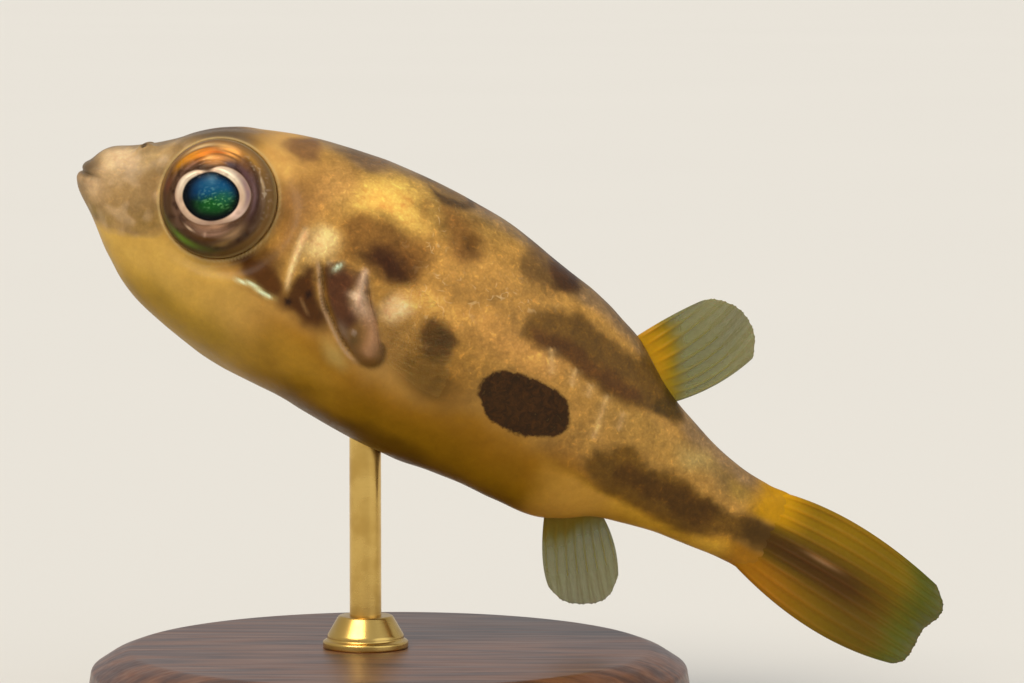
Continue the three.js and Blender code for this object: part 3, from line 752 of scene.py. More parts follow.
ground = lay_all(ground, [
    ("#6b4a22", 0.9 * on_lobe),
    ("#4c2a16", 0.95 * smooth_step((wet_red + 0.08) / 0.3)),
    ("#55341f", 0.8 * glow(9.3, 1.45, 0.3, 0.2) * on_lobe),
    ("#78604a", 0.9 * glow(9.5, -0.18, 0.3, 0.2, -30) * on_lobe),
    ("#55401f", 0.8 * glow(9.95, -0.22, 0.16, 0.25) * on_lobe),
    # A tiny painted highlight on the lobe.
    ("#a08a78", 0.9 * glow(9.84, -0.02, 0.07, 0.06)),
    ("#74501e", 0.8 * glow(10.6, -0.45, 0.35, 0.25) * on_lobe),
    ("#4c3008", 0.7 * hill(in_lobe - 0.02, 0.08) * ramp(flat_x, 10.0, 0.6) * (flat_z < 0.1)),
    ("#a67a54", 0.9 * hill(pink, 0.24) * ramp(pink_run, 0.3, 0.3) * on_lobe),
    ("#c8a482", 0.95 * hill(pink, 0.1 + 0.22 * pink_run) * ramp(pink_run, 0.7, -0.25)),
    # A painted highlight on the pink ridge.
    ("#e8c8a4", 0.9 * glow(9.45, 0.98, 0.1, 0.22, -80)),
    # The next two rows are a painted highlight: a small teal-white glint with a greyish halo.
    ("#8e8a64", 0.85 * glow(8.5, 1.46, 0.2, 0.1, 62)),
    ("#c8dcc0", 0.95 * glow(8.51, 1.5, 0.13, 0.045, 62)),  # a painted teal-white glint
    ("#ae8c66", 0.95 * hill(gill, 0.055) * smooth_step(np.sin(np.pi * gill_run) * 2)),
    ("#e4c084", 0.95 * hill(ridge, 0.06 + 0.07 * (1 - ridge_run))
     * smooth_step(5 * (1 - ridge_run)) * smooth_step(6 * ridge_run)),
    ("#80603a", 0.7 * hill(small_ridge, 0.05) * np.sin(np.pi * small_run)),
    # A pale painted highlight along the cheek fold, brightest in a thin teal-white line.
    ("#b9a868", 0.7 * hill(fold, 0.09) * np.sin(np.pi * fold_run)),
    ("#dde6bc", 0.95 * hill(fold, 0.04)
     * smooth_step(2.4 * np.sin(np.pi * np.clip(fold_run / 0.9, 0, 1)) - 0.4)),
])
print("share of skin on the lobe:", round(float((on_lobe > 0.5).mean()), 3))

# %% colour the muscle lines, the mouth, the eye's socket and the tail's root
# Muscle blocks show through over and behind the spot as a few thin pale lines that lean a little back.
MUSCLE_LINES = [
    [(17.68, 1.8), (17.78, 1.27), (17.9, 0.68), (17.93, 0.27)],
    [(17.05, 1.85), (17.18, 1.4)],
    [(16.4, 2.05), (16.55, 1.5)],
    [(15.4, 2.3), (15.6, 1.9), (15.8, 1.5)],
    [(18.4, 1.5), (18.55, 0.9)],
]
for points in MUSCLE_LINES:
    line, _, run = from_path(flat_x + 0.15 * warp[..., 0], flat_z, points)
    line_share = (0.42 * hill(line, 0.06) + 0.2 * hill(line, 0.2)) * smooth_step(3 * np.sin(np.pi * run))
    ground = lay(ground, "#dcb272", line_share)
mouth, _, mouth_run = from_path(flat_x, flat_z, MOUTH)
# Painted shade along the mouth's groove.
ground = lay(ground, "#66543c", 0.4 * hill(mouth, 0.08) * ramp(mouth_run, 1, -0.4))
nostril = np.hypot(flat_x - NOSTRIL[0], np.abs(skin[..., 1]) - NOSTRIL[1])
# Painted shade in the nostrils' pits.
ground = lay(ground, "#3a2c1c", 0.85 * hill(nostril, 0.12) * (flat_z > 0.8))
# A painted highlight on the rim's crest round the eye.
ground = lay(ground, "#c4a870", 0.7 * hill(orbit_away - EYE_RADIUS - RIM_GAP, 0.05))
# The socket's skin, seen only in the shaded gap beside the eyeball, is painted a light tan as painted light
# that lifts the shade.
ground = lay(ground, "#a07c4c", smooth_step((EYE_RADIUS - RIM_GAP - orbit_away) / 0.1))
# The flesh at the root of the tail fin takes the fin's own yellow.
tail_root = ramp(flat_x, 23.2, 0.8)
ground = lay(ground, "#bc8806", tail_root * ramp(flat_z, 0.25, 0.3))
ground = lay(ground, "#9c680a", tail_root * ramp(flat_z, -0.5, -0.3))
# Loose skin gathers into small wrinkles over the shoulder and behind the pectoral fin, less on the marks; the
# material raises them in its bump and paints a highlight along them.
# Each row is a distance from the snout, a height, a half length and a half height.
LOOSE_SKIN = [
    (10.8, 4.25, 0.8, 0.45), (10.4, 3.25, 0.7, 0.5), (11.7, 2.5, 1.2, 0.8), (11.5, 1.5, 0.9, 0.5),
    (12.3, 0.3, 0.8, 0.4), (13.6, 3.1, 1.3, 0.6),
]
wrinkled = sum(glow(*where) for where in LOOSE_SKIN) * (1 - 0.8 * marked)
print("share of skin that wrinkles:", round(float((wrinkled > 0.5).mean()), 3))

# %% the skin's mesh
def with_poles(grid, first, last):
    """Points, quads and triangles of a tube whose ends are closed by fans to a single point each."""
    rows, columns = grid.shape[:2]
    points = np.concatenate([grid.reshape(-1, 3), [first, last]])
    k = np.arange(columns)
    after = (k + 1) % columns
    fans = [np.stack([np.full(columns, rows * columns), after, k], axis=-1)]
    end = (rows - 1) * columns
    fans.append(np.stack([np.full(columns, rows * columns + 1), end + k, end + after], axis=-1))
    return points, grid_faces(rows, columns, True), np.concatenate(fans)


def with_ends(field, first, last):
    """A grid's field as one list with the values at its two poles."""
    return np.concatenate([field.reshape(-1, *field.shape[2:]), [first, last]])


points, quads, fans = with_poles(skin, *poles)
body = make_mesh("skin", on_stand(points), quads, fans)
for name, field in (("spot", spot), ("grainy", grainy), ("wrinkled", wrinkled)):
    set_field(body, name, with_ends(field, 0, 0))
set_colours(body, "ground", with_ends(ground, ground[0, 0], ground[-1, 0]))
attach(body, "root")
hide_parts("upper_jaw", "lower_jaw", "head", "trunk", "belly", "tail_stalk")

# %% [markdown]
# ## Finish of the skin
# Puffer skin has no scales: it is a wet, slightly clear hide over layers of pigment cells. Yellow and
# golden cells give the ground, black ones gather into the marks, and small painted highlights glitter
# between them as glints on the wet skin. Cell patterns are drawn with Voronoi and noise textures whose scale
# comes from the size of a cell group, about a tenth of a millimetre, so a mark's border is made of grains, not
# of a line.

# %% one function adds a node
def node(tree, kind, inputs=(), out=0, **settings):
    """Adds a shader node: settings by name, inputs by key from a value or another node's output."""
    made = tree.nodes.new("ShaderNode" + kind)
    for name, value in settings.items():
        setattr(made, name, value)
    for key, value in dict(inputs).items():
        if isinstance(value, bpy.types.NodeSocket):
            tree.links.new(value, made.inputs[key])
        else:
            made.inputs[key].default_value = value
    return made.outputs[out]


def colour(hex_code):
    """A colour as a socket takes it: linear red, green and blue, and full cover."""
    return (*(float(v) for v in linear(hex_code)), 1.0)


def per_mm(size):
    """The texture scale that makes one cell of a pattern this many millimetres wide."""
    return 1 / (size * MM)


def new_material(name, **sockets):
    """A material whose Principled shader has these constant sockets, with a node adder and the shader."""
    made = bpy.data.materials.new(name)
    made.use_nodes = True
    shader = made.node_tree.nodes["Principled BSDF"]
    for socket, value in sockets.items():
        shader.inputs[socket.replace("_", " ")].default_value = value
    return made, partial(node, made.node_tree), shader


def plug(shader, **links):
    """Joins outputs to the shader's sockets."""
    for socket, output in links.items():
        shader.id_data.links.new(output, shader.inputs[socket.replace("_", " ")])


print("a pattern with cells of 0.1 mm has scale", round(per_mm(0.1)))


# %% the skin's material
SMOOTH = {"interpolation_type": "SMOOTHSTEP"}
TIMES, PLUS, MINUS = ({"operation": word} for word in ("MULTIPLY", "ADD", "SUBTRACT"))
COLOURS = {"data_type": "RGBA", "out": 2}


def puffer_skin():
    """Scaleless fish skin: a wet film over pigment cells, with a little light scattered under the surface."""
    made, add, shader = new_material(
        "wet_scaleless_skin", IOR=1.36, Specular_IOR_Level=0.22, Coat_Weight=0.04, Coat_Roughness=0.12,
        Subsurface_Weight=0.15, Subsurface_Scale=0.35 * MM, Subsurface_Radius=(1.0, 0.5, 0.2))
    place = add("TexCoord", out="Object")
    fine = add("TexNoise", {"Vector": place, "Scale": per_mm(0.2), "Detail": 4.0, "Distortion": 0.8})
    cloudy = add("TexNoise", {"Vector": place, "Scale": per_mm(0.8), "Detail": 3.0})
    grain = add("TexVoronoi", {"Vector": place, "Scale": per_mm(0.09)})
    grainy = add("Attribute", out="Fac", attribute_name="grainy")

    # Overlaying a grey leaves a colour alone at one half, and lightens or darkens it on either side.
    tone = add("Attribute", out="Color", attribute_name="ground")
    for field, low, high, darkest, lightest, share in (
        (cloudy, 0.25, 0.75, 0.37, 0.63, 2.0),
        (fine, 0.25, 0.75, 0.37, 0.63, 0.8),
        (grain, 0.1, 0.7, 0.55, 0.46, 1.0),
    ):
        grey = add("MapRange", {0: field, 1: low, 2: high, 3: darkest, 4: lightest})
        weight = add("Math", {0: grainy, 1: share}, use_clamp=True, **TIMES)
        tone = add("Mix", {0: weight, 6: tone, 7: grey}, blend_type="OVERLAY", **COLOURS)

    # Thin wrinkles: the lines where a twisted noise passes one half, kept only where another noise is high.
    twist = add("TexNoise", {"Vector": place, "Scale": per_mm(0.42), "Detail": 1.0, "Distortion": 0.6})
    off_line = add("Math", {0: add("Math", {0: twist, 1: 0.5}, **MINUS)}, operation="ABSOLUTE")
    wrinkle = add("MapRange", {0: off_line, 1: 0.045, 2: 0.0}, **SMOOTH)
    here = add("TexNoise", {"Vector": place, "Scale": per_mm(0.3), "Detail": 1.0})
    here = add("MapRange", {0: here, 1: 0.5, 2: 0.66}, **SMOOTH)
    wrinkled = add("Attribute", out="Fac", attribute_name="wrinkled")
    sparse = add("Math", {0: here, 1: wrinkled}, use_clamp=True, **TIMES)
    wrinkle = add("Math", {0: wrinkle, 1: sparse}, **TIMES)
    # The wrinkles' pale colour is a painted highlight along their raised lines.
    pale = add("Math", {0: wrinkle, 1: 0.42}, **TIMES)
    tone = add("Mix", {0: pale, 6: tone, 7: colour("#ecc890")}, **COLOURS)

    # Painted highlights: where the fine noise is highest, raised specks are lightened by an overlay, as glints
    # of light on the wet skin.
    glint = add("MapRange", {0: fine, 1: 0.6, 2: 0.72, 4: 0.55}, **SMOOTH)
    glint = add("Math", {0: glint, 1: grainy}, **TIMES)
    tone = add("Mix", {0: glint, 6: tone, 7: colour("#e8e0d4")}, blend_type="OVERLAY", **COLOURS)

    # The crisp spot's field, broken up at its border by the fine noise, over two browns.
    ragged = add("Math", {0: add("Math", {0: fine, 1: 0.5}, **MINUS), 1: 1.3}, **TIMES)
    spotted = add("Math", {0: add("Attribute", out="Fac", attribute_name="spot"), 1: ragged}, **PLUS)
    spotted = add("MapRange", {0: spotted, 1: 0.15, 2: 0.85, 4: 0.97}, **SMOOTH)
    dark = add("MapRange", {0: fine, 1: 0.3, 2: 0.72}, **SMOOTH)
    dark = add("Mix", {0: dark, 6: colour("#200f00"), 7: colour("#3c2004")}, **COLOURS)
    tone = add("Mix", {0: spotted, 6: tone, 7: dark}, **COLOURS)

    height = add("Math", {0: add("Math", {0: grain, 1: -0.3}, **TIMES), 1: fine}, **PLUS)
    height = add("Math", {0: height, 1: add("Math", {0: wrinkle, 1: 0.5}, **TIMES)}, **PLUS)
    strength = add("Math", {0: grainy, 1: 0.4}, **TIMES)
    bump = add("Bump", {"Height": height, "Strength": strength, "Distance": 0.035 * MM})
    rough = add("MapRange", {0: fine, 1: 0.3, 2: 0.7, 3: 0.34, 4: 0.5})
    plug(shader, Base_Color=tone, Roughness=rough, Normal=bump)
    return made


body.data.materials.append(puffer_skin())
print("skin material:", body.data.materials[0].name)

# %% [markdown]
# ## Eyes
# A fish's eye is a ball with a flat bright iris, seen through a clear dome. The model has two pieces for
# each: an opaque ball whose front is shaped as pupil, silver ring and iris, and the dome over it. The
# front is worked out in polar coordinates about the pupil, which sits a little ahead of the ball's
# axis, and its colours are functions of the same two numbers: the distance from the pupil and the angle.

# %% the eye's own frame and its surfaces
IRIS_RINGS, IRIS_COLUMNS = 110, 220
IRIS_RADIUS = 1.85
IRIS_DOME, IRIS_CURVE = 0.62, 2.0  # the shallow dome of the iris: its height, and its own radius
BALL_RIM, BALL_DEPTH, BALL_BACK = -0.02, 1.05, -1.08  # where the ball's back starts, its depth, its pole
DOME_RADIUS = 1.875
DOME_GAP = 0.03  # between the iris and the cornea
BACK_RINGS, DOME_RINGS, DOME_COLUMNS = 14, 40, 96
PUPIL_SHIFT = np.array([-0.08, 0.0])  # ahead of the ball's axis, and above it


def dome_height(reach):
    """The cornea is half an ellipse."""
    return EYE_DOME * np.sqrt(np.maximum(1 - (reach / DOME_RADIUS) ** 2, 0))


def eye_axes(side):
    """The eye's middle, and unit directions to the tail, to the world's top and along its gaze."""
    flip = np.array([1, -side, 1])
    gaze = GAZE * flip
    top = np.array([-np.sin(PITCH), 0, np.cos(PITCH)])
    top = top - (top @ gaze) * gaze
    top = top / np.linalg.norm(top)
    tailward = -side * np.cross(top, gaze)
    return EYE_MIDDLE * flip, tailward, top, gaze


# Round the pupil from below over the snout's side: the turn, the pupil's edge, the silver ring's edge.
PUPIL_AND_RING = np.array([
    (-3.14, 0.79, 0.87), (-2.65, 0.8, 0.95), (-2.3, 0.84, 1.02), (-1.9, 0.9, 1.1), (-1.55, 0.96, 1.22),
    (-1.08, 0.92, 1.19), (-0.7, 0.83, 1.03), (-0.3, 0.78, 0.83), (-0.05, 0.785, 0.84), (0.15, 0.78, 0.95),
    (0.46, 0.76, 1.02), (0.88, 0.81, 1.11), (1.51, 0.92, 1.22), (1.94, 0.91, 1.16), (2.28, 0.86, 1.06),
    (2.5, 0.83, 0.97), (2.75, 0.8, 0.9),
])


def round_pupil(turn, column):
    """One column of the table at any turn: the mean of its straight blends at four turns close by."""
    turns, edges = PUPIL_AND_RING[:, 0], PUPIL_AND_RING[:, column]
    shifts = (-0.12, -0.04, 0.04, 0.12)
    return sum(np.interp(turn + shift, turns, edges, period=2 * np.pi) for shift in shifts) / 4


def turns_round(count):
    """Even turns round a circle, without the last, which is the first again."""
    return np.linspace(0, 2 * np.pi, count + 1)[:-1]


share, turn = np.meshgrid(np.linspace(0, 1, IRIS_RINGS)[1:], turns_round(IRIS_COLUMNS), indexing="ij")
turn = np.angle(np.exp(1j * turn))  # 0 at the top, positive towards the tail
reach = share * IRIS_RADIUS
iris_u = reach * np.sin(turn) + PUPIL_SHIFT[0] * (1 - share**2)
iris_v = reach * np.cos(turn) + PUPIL_SHIFT[1] * (1 - share**2)
pupil_edge, ring_edge = round_pupil(turn, 1), round_pupil(turn, 2)
past_pupil, past_ring = reach - pupil_edge, reach - ring_edge
flat = np.stack([iris_u, iris_v, 0 * iris_u], axis=-1)
coarse, middling, speck = (noise(flat, cell, cell * 30) for cell in (0.3, 0.13, 0.06))
streaks = noise(np.stack([2.6 * turn, 15 * reach, 0 * turn], axis=-1), 1.0, 3.0)
ripples = noise(np.stack([15 * iris_u + 6 * iris_v, 26 * iris_v - 9 * iris_u, 0 * turn], axis=-1), 1.0, 7.0)
relief = IRIS_DOME * np.sqrt(1 - (reach / IRIS_CURVE) ** 2) + 0.1
ring_width = ring_edge - pupil_edge
relief += 0.16 * ring_width * hill(past_pupil - 0.1, 0.1) - 0.03 * hill(past_ring, 0.06)
relief += smooth_step(past_ring / 0.1) * (0.012 * middling + 0.012 * streaks)
relief = np.minimum(relief, dome_height(reach) - DOME_GAP)
print("iris stands", round(float(relief.max()), 2), "mm proud of the ball's middle")

# %% colours of the iris
iris = np.broadcast_to(linear("#4a3220"), (*share.shape, 3)).copy()
iris = lay(iris, "#6c5040", 0.6 * smooth_step(coarse + 0.4) * smooth_step(streaks + 0.6))
iris = lay(iris, "#2c190e", 0.7 * ramp(middling, 0.2, 0.4))
# Strokes round the pupil: turn and its width, distance and its width, share, how streaky, colour.
IRIS_STROKES = [
    (-1.6, 0.45, 1.74, 0.07, 0.8, 0.2, "#5c5030"),
    (-1.7, 0.45, 1.45, 0.13, 0.6, 0.4, "#4e3820"),
    (-1.31, 0.16, 1.52, 0.1, 0.8, 0.3, "#6a3a26"),
    (2.1, 0.45, 1.4, 0.16, 0.9, 0.3, "#351c0e"),
    (1.5, 0.5, 1.33, 0.09, 0.9, 0.2, "#6a5050"),
    (1.6, 0.5, 1.45, 0.06, 0.9, 0.2, "#35201a"),
    (1.6, 0.5, 1.58, 0.1, 0.85, 0.3, "#7a5e46"),
    (1.5, 0.55, 1.74, 0.1, 0.8, 0.2, "#8e6e3e"),
    (1.3, 0.16, 1.58, 0.045, 0.8, 0.3, "#c2a67c"),
    (1.75, 0.5, 1.85, 0.05, 0.9, 0.1, "#3a2106"),
    (0.95, 0.3, 1.24, 0.09, 0.9, 0.1, "#5a3f44"),
    (0.46, 0.18, 1.14, 0.09, 0.95, 0.1, "#4a4450"),
    (0.74, 0.22, 1.42, 0.12, 0.8, 0.3, "#6e482a"),
    (-0.62, 0.25, 1.2, 0.07, 0.7, 0.3, "#8a6450"),
    (0.8, 0.3, 1.7, 0.12, 0.95, 0.2, "#b08238"),
    (-0.8, 0.26, 1.54, 0.12, 0.95, 0.3, "#a06c10"),
    (-0.5, 0.28, 1.48, 0.15, 1.0, 0.5, "#cc8420"),
    (-0.15, 0.3, 1.38, 0.17, 1.0, 0.5, "#f08c26"),
    (0.34, 0.22, 1.5, 0.18, 1.0, 0.5, "#ffb258"),
    (0.02, 0.26, 1.16, 0.14, 1.0, 0.3, "#ffac58"),
    (-0.1, 0.14, 1.22, 0.06, 0.9, 0.4, "#ffc470"),
    (0.05, 0.22, 1.4, 0.03, 0.9, 0.8, "#d4601a"),
    (-0.28, 0.32, 1.67, 0.06, 1.0, 0.2, "#ffdc9c"),
    (0.12, 0.2, 1.64, 0.08, 0.9, 0.3, "#f6bc6c"),
    (-2.85, 0.4, 0.99, 0.11, 0.9, 0.4, "#805c42"),
    (2.95, 0.3, 0.96, 0.12, 0.95, 0.3, "#a47c5e"),
    (3.1, 0.55, 1.16, 0.14, 0.9, 0.3, "#94705a"),
    (2.62, 0.3, 1.36, 0.12, 0.9, 0.3, "#a8845e"),
    (-2.95, 0.38, 1.34, 0.08, 0.9, 0.4, "#54340e"),
    # The next two strokes are small painted glints low on the iris.
    (-2.54, 0.13, 1.22, 0.035, 0.95, 0.2, "#d0b090"),
    (-2.98, 0.04, 1.2, 0.08, 0.8, 0.1, "#b8947a"),
    (2.9, 0.2, 1.5, 0.09, 0.8, 0.4, "#8a6838"),
    (2.6, 0.45, 1.79, 0.09, 0.8, 0.2, "#4e3c14"),
    (-3.05, 0.28, 1.66, 0.12, 0.85, 0.2, "#504a1c"),
    (-2.12, 0.28, 1.72, 0.08, 0.9, 0.1, "#525622"),
    (-2.55, 0.3, 1.63, 0.085, 1.0, 0.1, "#6c8c24"),
]
for at, width, distance, breadth, share_of, streaky, tone in IRIS_STROKES:
    around = np.angle(np.exp(1j * (turn - at)))
    mottle = 1 + streaky * (1.4 * streaks - 0.3)
    iris = lay(iris, tone, share_of * hill(around, width) * hill(reach - distance, breadth) * mottle)
print(len(IRIS_STROKES), "strokes on the iris")

# %% the iris's edge and the silver ring
ring = ramp(past_ring, 0.03, -0.07) * ramp(ring_width, 0.03, 0.1)
ring_share = np.clip(past_pupil / np.maximum(ring_width, 0.05), 0, 1)
ring_highlights = hill(turn + 1.0, 0.42) + hill(turn - 0.72, 0.42)
inside_pupil = ramp(past_pupil, 0.01, -0.05)
iris = lay_all(iris, [
    ("#8a663a", 0.8 * ramp(reach, 1.6, 0.14) * smooth_step(1.2 + np.cos(turn - 0.4))),
    ("#d8c4a4", 0.5 * hill(turn - 1.35, 0.6) * hill(reach - 1.6, 0.14) * ramp(speck, 0.35, 0.3)),
    ("#a08a58", 0.6 * ramp(reach, 1.8, 0.05)),
    ("#d4b496", ring),
    # Painted highlights where the silver ring is whitest, and painted shade on its outer half at the rear.
    ("#f4e2c4", 0.95 * ring * ring_highlights * ramp(ring_share, 1.1, -0.5)),
    ("#86686a", 0.9 * ring * ramp(ring_share, 0.3, 0.45) * hill(turn - 1.4, 0.7)),
    ("#a48270", 0.75 * ring * hill(np.pi - np.abs(turn), 0.75)),
    ("#e6c4b2", 0.9 * ring * hill(turn - 2.15, 0.25)),
    ("#b48a74", 0.6 * ring * ramp(ring_share, 0.6, 0.4) * hill(turn + 1.75, 0.5)),
    ("#8a6c50", 0.8 * ring * hill(turn + 0.18, 0.16)),
    ("#a98470", 0.4 * ring * smooth_step(middling + 0.3)),
    ("#04070b", inside_pupil),
])
silver = ring * (1 - inside_pupil)
print("share of the front that is ring:", round(float((silver > 0.5).mean()), 2))

# %% the shine in the pupil
deep = inside_pupil * ramp(past_pupil, -0.02, -0.32)
horizon = iris_v + 0.12 * coarse + 0.05 * middling - 0.03
above, below = smooth_step(0.5 + horizon / 0.4), smooth_step(0.5 - horizon / 0.4)
# Painted shade: the shine fades to black towards the pupil's front and lower edges.
deep = deep * smooth_step((iris_u + 0.95) / 0.6) * smooth_step((iris_v + 0.85) / 0.45)
for tone, share_of in (
    ("#083560", 0.92 * above),
    ("#1a5f80", 0.5 * hill(np.hypot(iris_u + 0.1, iris_v - 0.35), 0.42)),
    ("#54869c", 0.65 * hill(np.hypot((iris_u + 0.06) / 0.8, iris_v - 0.62), 0.2)),
    ("#0d4a72", 0.7 * hill(np.hypot(iris_u - 0.35, iris_v - 0.3), 0.25)),
    ("#15501a", 0.95 * below * hill(np.hypot(iris_u / 0.55, (iris_v + 0.22) / 0.36), 1.0)),
    ("#1c5c48", 0.7 * hill(np.hypot((iris_u - 0.35) / 0.35, (iris_v + 0.02) / 0.2), 1.0)),
    ("#6cae62", 0.6 * ramp(ripples, 0.2, 0.5)
     * hill(np.hypot((iris_u - 0.12) / 0.5, (iris_v + 0.18) / 0.28), 1.0)),
    ("#5c98ac", 0.3 * ramp(ripples, 0.25, 0.5)
     * hill(np.hypot(iris_u / 0.5, (iris_v - 0.25) / 0.3), 1.0)),
):
    iris = lay(iris, tone, deep * share_of)
print("share of the front that is pupil:", round(float((inside_pupil > 0.5).mean()), 2))


# %% build both eyes
def bowl(radius, start, depth, rows, columns):
    """Rings round the gaze on a quarter ellipse: radius times a cosine, and start plus depth times a sine."""
    quarter = (np.linspace(0, 1, rows + 2)[1:-1] * np.pi / 2)[:, None]
    turn = turns_round(columns)
    out = radius * np.cos(quarter)
    return out * np.sin(turn), out * np.cos(turn), start + depth * np.sin(quarter) + 0 * turn


def in_eye(side, u, v, w):
    """Places eye coordinates in the fish's frame."""
    middle, tailward, top, gaze = eye_axes(side)
    return middle + u[..., None] * tailward + v[..., None] * top + w[..., None] * gaze


def eye_piece(name, side, u, v, w, first, last):
    """A closed surface from rings about the gaze; the mirrored side has its faces turned over."""
    ends = in_eye(side, np.array([0.0, 0.0]), np.array([0.0, 0.0]), np.array([first, last]))
    points, quads, fans = with_poles(in_eye(side, u, v, w), *ends)
    if side > 0:
        quads, fans = quads[:, ::-1], fans[:, ::-1]
    piece = make_mesh(name, on_stand(points), quads, fans)
    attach(piece, "root")
    return piece


back = bowl(IRIS_RADIUS, BALL_RIM, -BALL_DEPTH, BACK_RINGS, IRIS_COLUMNS)
ball_grid = [np.concatenate(pair) for pair in zip((iris_u, iris_v, relief), back)]
dome_grid = [part[::-1] for part in bowl(DOME_RADIUS, 0.0, EYE_DOME, DOME_RINGS, DOME_COLUMNS)]
# The ball's back shows only as a thin band in the shaded gap by the socket; its light tan is painted light
# that lifts that shade.
ball_tones = np.concatenate([iris, np.broadcast_to(linear("#c49c60"), (*back[0].shape, 3))])
ball_silver = np.concatenate([silver, np.zeros(back[0].shape)])


def eye_front():
    """The iris and lens under the dome: pigment with a silky shine, brightest on the silver ring."""
    made, add, shader = new_material("iris_and_lens", Roughness=0.32, IOR=1.34, Specular_IOR_Level=0.1)
    silver = add("Math", {0: add("Attribute", out="Fac", attribute_name="silver"), 1: 0.25}, **TIMES)
    plug(shader, Base_Color=add("Attribute", out="Color", attribute_name="iris"), Metallic=silver)
    return made


def clear_cornea():
    """A dome of clear tissue: almost all light goes through, and a little is mirrored, most at its edge."""
    made, add, shader = new_material("clear_cornea")
    made.node_tree.nodes.remove(shader)
    mirrored, gloss = add("Fresnel", {"IOR": 1.12}), add("BsdfGlossy", {"Roughness": 0.06})
    both = add("MixShader", {0: mirrored, 1: add("BsdfTransparent"), 2: gloss})
    plug(made.node_tree.nodes["Material Output"], Surface=both)
    return made


iris_material, cornea_material = eye_front(), clear_cornea()
for side_sign, word in ((-1, "left"), (1, "right")):
    ball = eye_piece(f"eyeball_{word}", side_sign, *ball_grid, relief[0].mean(), BALL_BACK)
    set_colours(ball, "iris", with_ends(ball_tones, ball_tones[0, 0], ball_tones[-1, 0]))
    set_field(ball, "silver", with_ends(ball_silver, 0, 0))
    ball.data.materials.append(iris_material)
    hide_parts(f"eye_{word}")
    dome = eye_piece(f"cornea_{word}", side_sign, *dome_grid, EYE_DOME, 0.0)
    dome.data.materials.append(cornea_material)
    print(f"the {word} eye faces", (GAZE * [1, -side_sign, 1]).round(2))

# %% [markdown]
# ## Fins
# A puffer's fins are fans of soft, branching rays in a clear web. Each fin is a thin closed shell. Three
# curves give its shape: the root on the body, a line half way out, and the free edge; the parabola through
# the three is the path of a ray. Across the fan the shell is thick on a ray and thin between two. Colour
# and cover (how opaque the web is) run from the flesh at the root to a clearer edge.

# %% the shell of a fin
RAY_ROWS, COLUMNS_PER_RAY = 64, 14
RAY_HEIGHT = 0.055  # how far a ray stands out of the web at its root
RIPPLE = 0.12  # how far the web waves at its edge
SERRATION = 0.03  # how far the edge draws back between two rays
THINNEST = 0.008  # half the thickness of the very edge


def unit(v):
    """A vector over its own length."""
    return v / np.maximum(np.linalg.norm(v, axis=-1, keepdims=True), 1e-9)


def rays_of(count, columns, outward):
    """How much of each point is ray: a bell across each ray, which forks in two past half its length."""
    across = np.linspace(0, 1, columns) * count - 0.5
    off = (across - np.round(across))[None, :]
    fork = ramp(outward, 0.5, 0.35)[:, None]
    single, double = hill(off, 0.17), hill(off - 0.16 * fork, 0.11) + hill(off + 0.16 * fork, 0.11)
    return single * (1 - fork) + np.minimum(double, 1) * fork


def fin_shell(lines, count, web=0.035, base=0.3):
    """A closed shell about the sheet that three lines span: two faces, joined at the edge and the root."""
    columns = COLUMNS_PER_RAY * count + 1
    root, middle, edge = (curve(line, columns) for line in lines)
    outward = np.linspace(0, 1, RAY_ROWS)
    u = outward[:, None, None]
    sheet = root * (1 - u) * (1 - 2 * u) + middle * 4 * u * (1 - u) + edge * u * (2 * u - 1)
    ray = rays_of(count, columns, outward)
    across = np.linspace(0, 1, columns)[None, :]
    normal = unit(np.cross(np.gradient(sheet, axis=1), np.gradient(sheet, axis=0)))
    phase = 2 * np.pi * (1.6 * across + 0.25 * outward[:, None]) + count
    ripple = RIPPLE * outward[:, None] ** 1.5 * np.sin(phase)
    sheet = sheet + normal * (ripple * np.sin(np.pi * across) ** 0.4)[..., None]
    sheet = sheet - SERRATION * (u**6) * (1 - ray[..., None]) * unit(sheet[-1:] - sheet[-8:-7])
    ray = ray * smooth_step(outward / 0.3)[:, None]
    rim = ramp(outward, 1.0, -0.03)[:, None] * smooth_step(np.minimum(across, 1 - across) / 0.012)
    fleshy = 0.5 * base * (1 - u[..., 0]) ** 5 * np.sin(np.pi * across) ** 0.5
    half = web * (1 - 0.45 * u[..., 0]) + RAY_HEIGHT * ray * (1 - 0.75 * u[..., 0]) + fleshy
    half = np.maximum(half * (0.15 + 0.85 * rim), THINNEST)
    front, rear = sheet + normal * half[..., None], sheet - normal * half[..., None]
    grid = np.concatenate([front, rear[:, ::-1]], axis=1)
    quads = grid_faces(RAY_ROWS, 2 * columns, True)
    near = np.arange(columns - 1)
    root_cap = np.stack([2 * columns - 1 - near, 2 * columns - 2 - near, near + 1, near], axis=-1)
    edge_cap = root_cap[:, ::-1] + (RAY_ROWS - 1) * 2 * columns
    both = {"ray": ray, "outward": outward[:, None] + 0 * ray, "across": across + 0 * ray}
    fields = {key: np.concatenate([value, value[:, ::-1]], axis=1).ravel() for key, value in both.items()}
    return grid.reshape(-1, 3), np.concatenate([quads, root_cap, edge_cap]), fields


print("a fin of 9 rays has", RAY_ROWS, "rows of", 2 * (9 * COLUMNS_PER_RAY + 1), "points")


# %% the outlines of the fins
def flat_line(points):
    """A line in the fish's middle plane from distances and heights."""
    return [(x, 0.0, z) for x, z in points]


